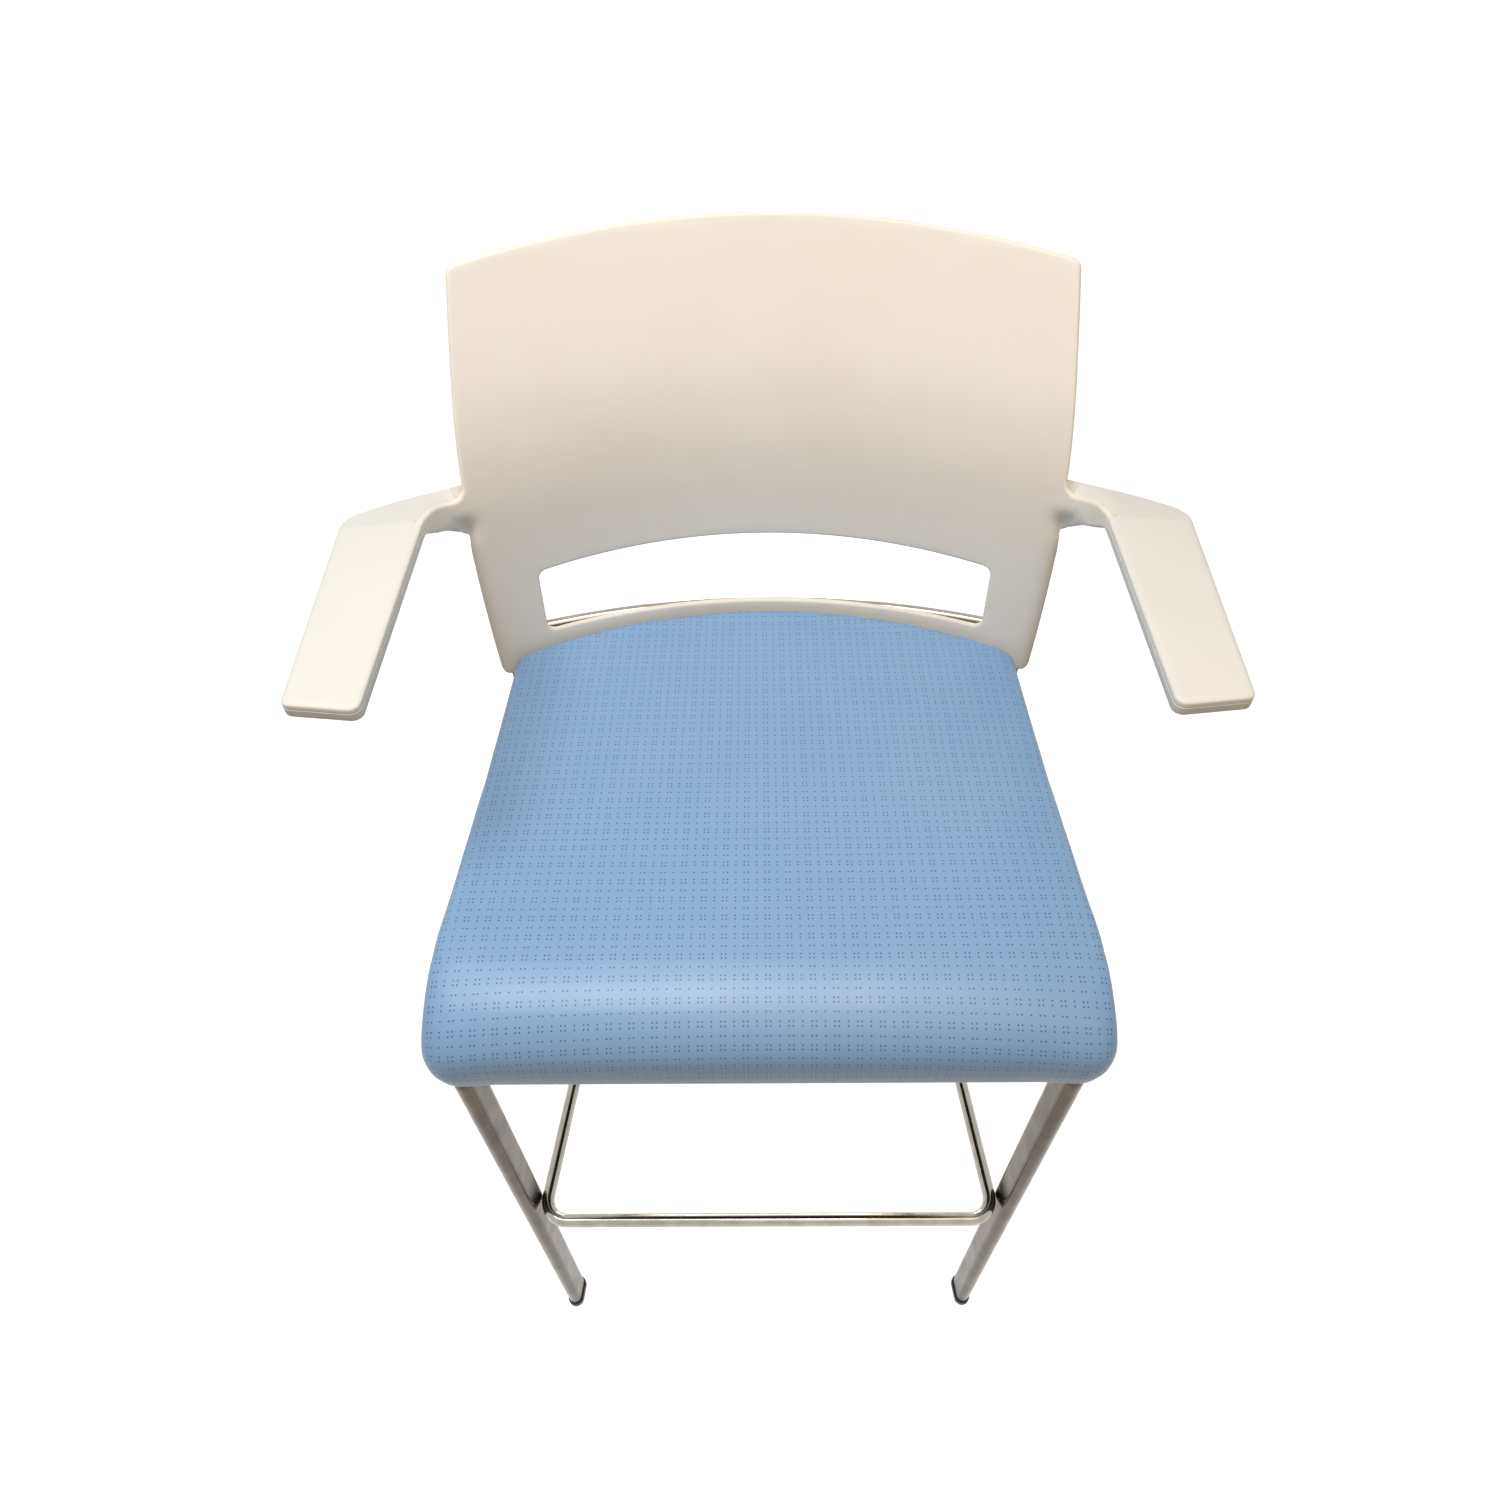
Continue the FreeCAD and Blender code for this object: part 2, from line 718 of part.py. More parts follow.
# Pivots and uprights
hub_inner = -size("upright_width") / 2
bracket_face = hub_inner - size("hub_gap")
hub_outer = size("upright_width") / 2
stop_half_angle = math.radians(size("recline_range_angle") / 2)
stop_pin_y = -size("stop_radius") * math.sin(stop_half_angle)
stop_pin_z = -size("stop_radius") * math.cos(stop_half_angle)


def tail_outline(reach):
    """Lug below a pivot, rounded at its end."""
    half = size("tail_width") / 2
    return [
        Part.LineSegment(vec(-half, 0), vec(-half, -reach)),
        Part.Arc(vec(-half, -reach), vec(0, -reach - half), vec(half, -reach)),
        Part.LineSegment(vec(half, -reach), vec(half, 0)),
        Part.LineSegment(vec(half, 0), vec(-half, 0)),
    ]


def pivot_sketch(body, side, start, geometry=()):
    """Sketch square to the pivot axis, at a distance outwards from the upright's middle."""
    return sketch_on(body, "YZ_Plane", geometry, place(0, 0, side * start))


def pivot_bracket(name, side):
    """Welded block on the outside of a seat rail, trimmed to it, for the pivot bolt and the stop pin."""
    body = new_body(f"{name}_pivot_bracket_stock")
    body.Placement = upright_frame(side)
    inward = side > 0
    depth = "sizes.leg_spread / 4"
    boss = pivot_sketch(body, side, bracket_face)
    add_circle(boss, "sizes.bracket_diameter")
    pad(body, boss, depth, inward)
    tail = pivot_sketch(body, side, bracket_face, tail_outline(size("stop_radius")))
    pad(body, tail, depth, inward)
    bore = pivot_sketch(body, side, bracket_face)
    add_circle(bore, "sizes.pivot_bolt_diameter + 2 * sizes.thread_clearance")
    pocket(body, bore, None, not inward)
    pin_bore = pivot_sketch(body, side, bracket_face)
    add_circle(pin_bore, "sizes.stop_pin_diameter", stop_pin_y, stop_pin_z)
    pocket(body, pin_bore, None, not inward)
    rail = rail_block(f"{name}_bracket_rail", side, -BEYOND, size("tube_width") / 2)
    keep(f"{name}_pivot_bracket", cut(f"{name}_pivot_bracket", body, rail))


def stop_pin(name, side):
    """Pin from the bracket into the arc slot of the upright's tail."""
    frame = upright_frame(side).multiply(place(0, stop_pin_y, stop_pin_z))
    start = bracket_face - size("pivot_thread_length")
    length = "sizes.pivot_thread_length + sizes.hub_gap + sizes.upright_width"
    where = along_x(frame, side, start)
    keep(f"{name}_stop_pin", cylinder(f"{name}_stop_pin", "sizes.stop_pin_diameter", length, where))


def stop_slot():
    """Arc slot about the pivot, as long as the recline and a clearance wider than the stop pin."""
    radius, half = size("stop_radius"), size("stop_pin_diameter") / 2 + size("stop_clearance")
    outer, inner = radius + half, radius - half
    first, last = -stop_half_angle, stop_half_angle
    cap = half / radius
    tip = radius / math.cos(cap)

    def at(distance, angle):
        return vec(distance * math.sin(angle), -distance * math.cos(angle))

    return [
        Part.Arc(at(outer, first), at(outer, 0), at(outer, last)),
        Part.Arc(at(outer, last), at(tip, last + cap), at(inner, last)),
        Part.Arc(at(inner, last), at(inner, 0), at(inner, first)),
        Part.Arc(at(inner, first), at(tip, first - cap), at(outer, first)),
    ]


def upright(name, side):
    """Oval steel bar with a pivot hub and a slotted tail at its lower end."""
    body = new_body(f"{name}_upright")
    body.Placement = upright_frame(side)
    width = "sizes.upright_width"
    hub = sketch_on(body, "YZ_Plane", offset=place(0, 0, hub_inner))
    add_circle(hub, "sizes.hub_diameter")
    pad(body, hub, width)
    shank = sketch_on(body, "XY_Plane", obround(size("upright_depth"), size("upright_width")))
    pad(body, shank, upright_length)
    pad(body, sketch_on(body, "YZ_Plane", tail_outline(size("stop_radius")), place(0, 0, hub_inner)), width)
    bore = sketch_on(body, "YZ_Plane", offset=place(0, 0, hub_inner))
    add_circle(bore, "sizes.bush_diameter")
    pocket(body, bore, None, True)
    pocket(body, sketch_on(body, "YZ_Plane", stop_slot(), place(0, 0, hub_inner)), None, True)
    threads = sketch_on(body, "XZ_Plane", offset=place(0, 0, -size("upright_depth") / 2))
    for rise in (size("back_screw_low"), size("back_screw_high")):
        add_circle(threads, "sizes.back_screw_diameter + 2 * sizes.thread_clearance", 0, rise)
    pocket(body, threads, "sizes.back_screw_grip + sizes.screw_clearance", True)
    keep(body.Label, body)


def ring(label, outer, inner, length, where):
    """Turned ring along the local Z of where."""
    body = new_body(label)
    body.Placement = where
    section = sketch_on(body, "XY_Plane")
    add_circle(section, outer)
    add_circle(section, inner)
    pad(body, section, length)
    keep(label, body)


def pivot_parts(name, side):
    frame = upright_frame(side)
    bolt = "sizes.pivot_bolt_diameter"
    bolt_hole = bolt + " + 2 * sizes.thread_clearance"
    ring(
        f"{name}_torsion_bush", "sizes.bush_diameter", "sizes.bush_bore", "sizes.upright_width",
        along_x(frame, side, hub_inner),
    )
    ring(
        f"{name}_pivot_sleeve", "sizes.bush_bore - 2 * sizes.pivot_clearance", bolt_hole,
        "sizes.upright_width + 2 * sizes.hub_gap", along_x(frame, side, bracket_face),
    )
    washer_start = hub_outer + size("hub_gap")
    ring(
        f"{name}_pivot_washer", "sizes.pivot_washer_diameter", bolt_hole,
        "sizes.pivot_washer_thickness", along_x(frame, side, washer_start),
    )
    body = new_body(f"{name}_pivot_bolt")
    body.Placement = along_x(frame, side, washer_start + size("pivot_washer_thickness"))
    head = sketch_on(body, "XY_Plane")
    add_circle(head, "sizes.pivot_head_diameter")
    pad(body, head, "sizes.pivot_head_height")
    shank = sketch_on(body, "XY_Plane")
    add_circle(shank, bolt)
    hub = "sizes.upright_width + 2 * sizes.hub_gap"
    pad(body, shank, f"sizes.pivot_washer_thickness + {hub} + sizes.pivot_thread_length", True)
    hexagon = []
    for corner in range(6):
        turn = math.radians(60 * corner)
        reach = size("pivot_socket_width") / math.sqrt(3)
        hexagon.append((reach * math.cos(turn), reach * math.sin(turn), 0))
    socket = sketch_on(body, "XY_Plane", rounded_path(hexagon), place(0, 0, size("pivot_head_height")))
    pocket(body, socket, "sizes.pivot_socket_depth")
    keep(body.Label, body)


def back_screws():
    """Screws from behind, through the sleeves into the uprights."""
    screws = []
    wall = size("upright_depth") / 2 + size("sleeve_clearance") + size("sleeve_wall")
    for name, side in SIDES.items():
        for level, rise in (("low", size("back_screw_low")), ("high", size("back_screw_high"))):
            screw = new_body(f"back_screw_{name}_{level}")
            screw.Placement = upright_frame(side).multiply(place(0, wall, rise, X_AXIS, -90))
            head = sketch_on(screw, "XY_Plane")
            add_circle(head, "sizes.back_screw_head_diameter")
            pad(screw, head, "sizes.back_screw_head_height")
            shank = sketch_on(screw, "XY_Plane")
            add_circle(shank, "sizes.back_screw_diameter")
            pad(screw, shank, "sizes.sleeve_wall + sizes.sleeve_clearance + sizes.back_screw_grip", True)
            screws.append(screw)
    keep("back_screws", group("back_screws", screws))


def bar_stock(label, diameter):
    """Rod bent to one arc in plan, long enough to reach both uprights."""
    body = new_body(label)
    section = sketch_on(body, "YZ_Plane", offset=place(bar_y - size("bar_radius"), 0, 0))
    add_circle(section, diameter, size("bar_radius"), back_bottom + size("bar_rise"))
    revolve_about_vertical(body, section, math.degrees(math.asin(upright_x / size("bar_radius"))))
    return body


def back_bar():
    stock = bar_stock("back_bar_stock", "sizes.bar_diameter")
    keep("back_bar", cut("back_bar", stock, nodes["left_upright"], nodes["right_upright"]))


# Back shell with its arms
def back_profile():
    """Side section at the middle of the back, in the frame of its vertical plan axis."""
    thickness = size("back_thickness")
    lean, recline = tan(size("back_lean_angle")), tan(size("back_recline_angle"))
    bottom, top = back_bottom, back_top + thickness
    bend, radius = bottom + size("back_bend_rise"), size("back_bend_radius")
    front = size("back_plan_radius")
    bend_front = front + (bend - bottom) * lean
    top_front = bend_front + (top - bend) * recline
    low_step = thickness / lean_cos
    high_step = thickness / math.cos(math.radians(size("back_recline_angle")))
    rear_bend = bend - (high_step - low_step) / (recline - lean)
    rear_bend_y = front + low_step + (rear_bend - bottom) * lean
    return [
        (front, bottom, 0),
        (bend_front, bend, radius),
        (top_front, top, 0),
        (top_front + high_step, top, 0),
        (rear_bend_y, rear_bend, radius - thickness),
        (front + low_step, bottom, 0),
    ]


def back_outline():
    """Front view of the back, less its arms: bowed sides and an arched top."""
    top = upright_x + size("back_top_margin")
    bottom = upright_x + size("back_bottom_margin")
    low, high = back_bottom, back_top - size("back_top_rise")
    corner = size("back_corner_radius")
    rise, top_radius = arch(top, size("back_top_rise"), 2 * corner)
    mean = (top + bottom) / 2
    bow, side_radius = arch((high - low) / 2, back_half_width - mean, 2 * corner)
    return [
        (-bottom, low, corner),
        (bottom, low, corner),
        (mean + bow, (low + high) / 2, side_radius),
        (top, high, corner),
        (0, high + rise, top_radius),
        (-top, high, corner),
        (-mean - bow, (low + high) / 2, side_radius),
    ]


def slot_outline():
    half = upright_x - size("slot_end_margin")
    low = back_bottom + size("slot_bottom_rise")
    corner = low + size("slot_height") - size("slot_top_rise")
    radius = size("slot_corner_radius")
    rise, top_radius = arch(half, size("slot_top_rise"), 2 * radius)
    return [
        (-half, low, radius),
        (half, low, radius),
        (half, corner, radius),
        (0, corner + rise, top_radius),
        (-half, corner, radius),
    ]


def back_panel():
    """Thin shell curved in plan and bent in side view, with the slot and the two upright sleeves."""
    body = new_body("back_panel")
    section = sketch_on(body, "YZ_Plane", rounded_path(back_profile()), place(plan_axis_y, 0, 0))
    half_turn = math.degrees(math.asin(back_half_width / size("back_plan_radius")))
    revolve_about_vertical(body, section, half_turn + SPARE_TURN)
    around = box_corners(-BEYOND, 0, BEYOND, 4 * BEYOND)
    pocket(body, sketch_on(body, "XZ_Plane", rounded_path(around) + rounded_path(back_outline())))
    pocket(body, sketch_on(body, "XZ_Plane", rounded_path(slot_outline())))
    wall = 2 * (size("sleeve_clearance") + size("sleeve_wall"))
    section = obround(size("upright_depth") + wall, size("upright_width") + wall)
    for side in SIDES.values():
        foot = upright_frame(side).multiply(place(0, 0, sleeve_start))
        sleeve_length = upright_length - sleeve_start + size("sleeve_crown")
        pad(body, sketch_on(body, "XY_Plane", section, foot), sleeve_length)
    return body


def arm_corners(side):
    """Plan outline of an arm from its rounded front end to the crease."""
    radius = size("arm_corner_radius")
    return [
        (side * arm_inner_front_x, arm_inner_front_y, radius),
        (side * arm_outer_front_x, arm_outer_front_y, radius),
        (side * arm_outer_rear_x, arm_outer_crease_y, 0),
        (side * arm_inner_rear_x, arm_inner_crease_y, 0),
    ]


def front_face_y(x, height):
    """Y of the back's front face on its lower, straight stretch."""
    rise = (height - back_bottom) * tan(size("back_lean_angle"))
    return plan_axis_y + math.sqrt((size("back_plan_radius") + rise) ** 2 - x ** 2)


def arm_neck(name, side):
    """Web that turns from the back's side edge up and forwards into the arm."""
    top, low = arm_top, beam_bottom
    inner_x, outer_x = arm_inner_rear_x, arm_outer_rear_x
    inner_y, outer_y = arm_inner_crease_y, arm_outer_crease_y
    root_x = back_half_width - size("neck_sink")
    root_low, root_top = top - size("neck_bottom_drop"), top - size("neck_top_drop")
    root_y = front_face_y(root_x, (root_low + root_top) / 2)
    root_depth = size("sleeve_wall") + size("upright_depth") / 2
    turn_x = inner_x - NECK_TURN_IN * (inner_x - root_x)
    turn_y = inner_y + NECK_TURN_BACK * (root_y - inner_y)
    turn_out_x = (root_x + outer_x) / 2
    turn_out_y = (root_y + root_depth + outer_y) / 2 + NECK_BULGE * (root_y - outer_y)
    turn_low, turn_top = (root_low + low) / 2, (root_top + top) / 2
    turn_out_low = turn_low + size("neck_outer_lift")
    rings = [
        [(root_x, root_y, root_low), (root_x, root_y + root_depth, root_low),
         (root_x, root_y + root_depth, root_top), (root_x, root_y, root_top)],
        [(turn_x, turn_y, turn_low), (turn_out_x, turn_out_y, turn_out_low),
         (turn_out_x, turn_out_y, turn_top), (turn_x, turn_y, turn_top)],
        [(inner_x, inner_y, low), (outer_x, outer_y, low), (outer_x, outer_y, top), (inner_x, inner_y, top)],
    ]
    sections = []
    for index, points in enumerate(rings):
        wire = doc.addObject("Part::Feature", f"{name}_neck_section_{index}")
        wire.Shape = Part.makePolygon([vec(side * x, y, z) for x, y, z in points], True)
        sections.append(wire)
    neck = doc.addObject("Part::Loft", f"{name}_neck")
    neck.Sections = sections
    neck.Solid = True
    neck.Ruled = True
    return neck


def core_frame(side):
    """Frame on the arm's middle line, Y from the front end to the crease, and its length."""
    front_x = (arm_inner_front_x + arm_outer_front_x) / 2
    rear_x = (arm_inner_rear_x + arm_outer_rear_x) / 2
    front_y = (arm_inner_front_y + arm_outer_front_y) / 2
    rear_y = (arm_inner_crease_y + arm_outer_crease_y) / 2
    angle = math.degrees(math.atan2(rear_x - front_x, rear_y - front_y))
    length = math.hypot(rear_x - front_x, rear_y - front_y)
    return place(side * front_x, front_y, 0, Z_AXIS, -side * angle), length


def arm_screw_places(side):
    frame, length = core_frame(side)
    margin = size("core_margin") + size("arm_screw_margin")
    return [frame.multVec(vec(0, run)) for run in (margin, length - margin)]


def core_outline(side, clearance):
    length = core_frame(side)[1]
    half, margin = size("core_width") / 2 + clearance, size("core_margin") - clearance
    return rounded_path(box_corners(-half, margin, half, length - margin))


def arm_beam(name, side):
    """Lower half of an arm, with a tray for its steel core and holes for the cap's screws."""
    body = new_body(f"{name}_arm_beam")
    outline = sketch_on(body, "XY_Plane", rounded_path(arm_corners(side)), place(0, 0, beam_bottom))
    pad(body, outline, "sizes.arm_beam_thickness")
    tray = core_frame(side)[0].multiply(place(0, 0, beam_top))
    recess = sketch_on(body, "XY_Plane", core_outline(side, size("core_clearance")), tray)
    pocket(body, recess, "sizes.core_thickness")
    holes = sketch_on(body, "XY_Plane", offset=place(0, 0, beam_top))
    for point in arm_screw_places(side):
        add_circle(holes, "sizes.arm_screw_diameter + 2 * sizes.screw_clearance", point.x, point.y)
    pocket(body, holes)
    return body


def arm_core(name, side):
    body = new_body(f"{name}_arm_core")
    tray = core_frame(side)[0].multiply(place(0, 0, beam_top))
    pad(body, sketch_on(body, "XY_Plane", core_outline(side, 0), tray), "sizes.core_thickness", True)
    holes = sketch_on(body, "XY_Plane", offset=place(0, 0, beam_top))
    for point in arm_screw_places(side):
        add_circle(holes, "sizes.arm_screw_diameter + 2 * sizes.screw_clearance", point.x, point.y)
    pocket(body, holes)
    keep(body.Label, body)


def arm_cap(name, side):
    """Moulded cap on the beam, its top edge rounded."""
    body = new_body(f"{name}_arm_cap")
    outline = sketch_on(body, "XY_Plane", rounded_path(arm_corners(side)), place(0, 0, beam_top))
    pad(body, outline, "sizes.arm_cap_thickness")
    bores = sketch_on(body, "XY_Plane", offset=place(0, 0, beam_top))
    for point in arm_screw_places(side):
        add_circle(bores, "sizes.arm_screw_diameter + 2 * sizes.thread_clearance", point.x, point.y)
    drilled = pocket(body, bores, "sizes.arm_screw_bite + sizes.screw_clearance", True)
    fillet = body.newObject("PartDesign::Fillet", body.Name + "_fillet")
    top_faces = [index for index, face in enumerate(drilled.Shape.Faces, start=1)
                 if face.CenterOfMass.z > arm_top - 1e-3]
    fillet.Base = (drilled, [f"Face{index}" for index in top_faces])
    fillet.setExpression("Radius", "sizes.arm_edge_radius")
    keep(body.Label, body)


def arm_screws():
    screws = []
    for name, side in SIDES.items():
        for index, point in enumerate(arm_screw_places(side)):
            screw = new_body(f"arm_screw_{name}_{index}")
            screw.Placement = place(point.x, point.y, beam_bottom)
            head = sketch_on(screw, "XY_Plane")
            add_circle(head, "sizes.arm_screw_head_diameter")
            pad(screw, head, "sizes.arm_screw_head_height", True)
            shank = sketch_on(screw, "XY_Plane")
            add_circle(shank, "sizes.arm_screw_diameter")
            pad(screw, shank, "sizes.arm_beam_thickness + sizes.arm_screw_bite")
            screws.append(screw)
    keep("arm_screws", group("arm_screws", screws))


def back_shell():
    """One moulding: panel, sleeves, necks and arm beams, bored for its screws and relieved round the bar."""
    pieces = [back_panel()]
    for name, side in SIDES.items():
        pieces.append(arm_neck(name, side))
        pieces.append(arm_beam(name, side))
    moulding = fuse("back_moulding", *pieces)
    tools = [bar_stock("bar_relief", "sizes.bar_diameter + 2 * sizes.bar_clearance")]
    screw_hole = "sizes.back_screw_diameter + 2 * sizes.screw_clearance"
    for name, side in SIDES.items():
        frame = upright_frame(side)
        for level in ("low", "high"):
            where = frame.multiply(place(0, 0, size(f"back_screw_{level}"), X_AXIS, -90))
            tools.append(cylinder(f"{name}_{level}_screw_hole", screw_hole, "sizes.upright_depth", where))
        tools.append(socket(f"{name}_socket", frame))
    keep("back_shell", cut("back_shell", moulding, *tools))


def socket(label, frame):
    """Room for an upright inside its sleeve, open at the shell's lower edge."""
    body = new_body(label)
    gap = 2 * size("sleeve_clearance")
    start = sleeve_start - size("upright_depth")
    body.Placement = frame.multiply(place(0, 0, start))
    section = obround(size("upright_depth") + gap, size("upright_width") + gap)
    pad(body, sketch_on(body, "XY_Plane", section), upright_length - start + size("sleeve_clearance"))
    return body


# Assembly
for side_name, side_sign in SIDES.items():
    side_frame(side_name, side_sign)
    rail = rail_frame(side_sign)
    glide(f"{side_name}_front_glide", rail)
    rear_foot = rail.multiply(place(0, rear_foot_run, 0, X_AXIS, size("rear_slant_angle")))
    glide(f"{side_name}_rear_glide", rear_foot)
    seat_plate(f"{side_name}_front_seat_plate", side_sign, size("front_plate_place"))
    seat_plate(f"{side_name}_rear_seat_plate", side_sign, size("rear_plate_place"))
    pivot_bracket(side_name, side_sign)
    stop_pin(side_name, side_sign)
    upright(side_name, side_sign)
    pivot_parts(side_name, side_sign)
    arm_core(side_name, side_sign)
    arm_cap(side_name, side_sign)
foot_ring()
cross_tube("front_cross_tube", size("front_cross_place"))
cross_tube("rear_cross_tube", size("rear_cross_place"))
seat_pan()
seat_foam()
seat_cover()
seat_dust_cover()
seat_screws()
back_bar()
back_shell()
back_screws()
arm_screws()
doc.recompute()

for item in doc.Objects:
    if "Invalid" in item.State or "Error" in item.State:
        raise RuntimeError(f"{item.Label} failed: {item.State}")
for label, item in nodes.items():
    if item.Shape.isNull() or not item.Shape.isValid() or not item.Shape.Solids:
        raise RuntimeError(f"{label} has no valid solid")

os.makedirs("parts", exist_ok=True)
for label, item in nodes.items():
    item.Shape.exportStep(f"parts/{label}.step")
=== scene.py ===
"""Looks of the counter stool: moulded back with arms, padded seat, plated frame, light and camera.

Shapes are drawn in the part's millimetres and handed over in metres.
"""
import math

import bmesh
import bpy
import numpy as np
from mathutils import Matrix, Vector
from mathutils.bvhtree import BVHTree
from mathutils.geometry import delaunay_2d_cdt


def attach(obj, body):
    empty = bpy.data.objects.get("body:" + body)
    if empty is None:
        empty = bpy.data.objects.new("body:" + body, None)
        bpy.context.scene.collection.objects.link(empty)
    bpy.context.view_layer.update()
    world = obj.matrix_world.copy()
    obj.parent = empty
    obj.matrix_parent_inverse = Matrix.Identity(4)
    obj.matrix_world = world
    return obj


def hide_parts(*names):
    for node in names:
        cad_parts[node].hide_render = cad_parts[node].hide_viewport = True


MM = 0.001
SIDES = {"left": -1, "right": 1}

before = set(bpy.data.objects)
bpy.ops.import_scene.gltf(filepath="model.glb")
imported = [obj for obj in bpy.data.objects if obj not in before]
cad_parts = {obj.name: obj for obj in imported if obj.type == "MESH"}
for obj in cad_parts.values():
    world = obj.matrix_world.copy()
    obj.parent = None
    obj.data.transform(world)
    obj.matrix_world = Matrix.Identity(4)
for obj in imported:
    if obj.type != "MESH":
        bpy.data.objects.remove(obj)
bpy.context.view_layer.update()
bpy.context.scene.view_settings.view_transform = "Standard"


# Mesh helpers
def linear(hex_colour):
    """Linear colour from an sRGB hex value."""
    parts = [int(hex_colour[index:index + 2], 16) / 255 for index in (1, 3, 5)]
    return [c / 12.92 if c <= 0.04045 else ((c + 0.055) / 1.055) ** 2.4 for c in parts] + [1.0]


def ease(values, start, stop):
    """Smooth step from 0 at start to 1 at stop."""
    share = np.clip((values - start) / (stop - start), 0, 1)
    return share * share * (3 - 2 * share)


def link_piece(name, mesh):
    piece = bpy.data.objects.new(name, mesh)
    bpy.context.scene.collection.objects.link(piece)
    return piece


def make_piece(name, solids):
    """One object from closed solids, each with its points in millimetres, its faces and its finish."""
    points, faces, finishes, marks = [], [], [], []
    for (solid_points, solid_faces), finish in solids:
        start = len(points)
        points.extend((np.asarray(solid_points) * MM).tolist())
        faces.extend([start + corner for corner in face] for face in solid_faces)
        if finish not in finishes:
            finishes.append(finish)
        marks.extend([finishes.index(finish)] * len(solid_faces))
    mesh = bpy.data.meshes.new(name)
    mesh.from_pydata(points, [], faces)
    for finish in finishes:
        mesh.materials.append(finish)
    mesh.polygons.foreach_set("material_index", marks)
    shell = bmesh.new()
    shell.from_mesh(mesh)
    bmesh.ops.recalc_face_normals(shell, faces=shell.faces)
    shell.to_mesh(mesh)
    shell.free()
    mesh.shade_smooth()
    mesh.set_sharp_from_angle(angle=math.radians(38))
    return link_piece(name, mesh)


def mirrored(solid):
    points, faces = solid
    return np.asarray(points) * (-1, 1, 1), [face[::-1] for face in faces]


def rounded_outline(corners, step):
    """Points round a closed outline of corners (x, y, radius), its straight runs cut at about a step."""
    bends = []
    for index, (x, y, radius) in enumerate(corners):
        corner = np.array((x, y), float)
        back = np.array(corners[index - 1][:2]) - corner
        ahead = np.array(corners[(index + 1) % len(corners)][:2]) - corner
        back /= np.linalg.norm(back)
        ahead /= np.linalg.norm(ahead)
        inner = math.acos(np.clip(back @ ahead, -1, 1))
        if radius == 0 or inner > math.pi - 1e-3:
            bends.append([corner])
            continue
        half_way = (back + ahead) / np.linalg.norm(back + ahead)
        middle = corner + half_way * radius / math.sin(inner / 2)
        run = radius / math.tan(inner / 2)
        first, last = corner + back * run - middle, corner + ahead * run - middle
        start = math.atan2(first[1], first[0])
        turn = math.remainder(math.atan2(last[1], last[0]) - start, math.tau)
        angles = start + turn * np.linspace(0, 1, max(5, round(abs(turn) * radius / step * 2)))
        bends.append(list(middle + radius * np.stack([np.cos(angles), np.sin(angles)], 1)))
    outline = []
    for index, bend in enumerate(bends):
        outline.extend(bend)
        gap = bends[(index + 1) % len(bends)][0] - bend[-1]
        cuts = int(np.linalg.norm(gap) / step)
        outline.extend(bend[-1] + gap * share for share in np.arange(1, cuts) / max(cuts, 1))
    return np.array(outline)


def inside_of(loops, points, gap):
    """Marks the points that lie between an outline and its holes, more than a gap from both."""
    odd = np.zeros(len(points), bool)
    clear = np.ones(len(points), bool)
    x, y = points[:, 0], points[:, 1]
    for loop in loops:
        for (ax, ay), (bx, by) in zip(loop, np.roll(loop, -1, 0)):
            crosses = (ay > y) != (by > y)
            if ay != by:
                odd ^= crosses & (x < (bx - ax) * (y - ay) / (by - ay) + ax)
            clear &= (x - ax) ** 2 + (y - ay) ** 2 > gap ** 2
    return odd & clear


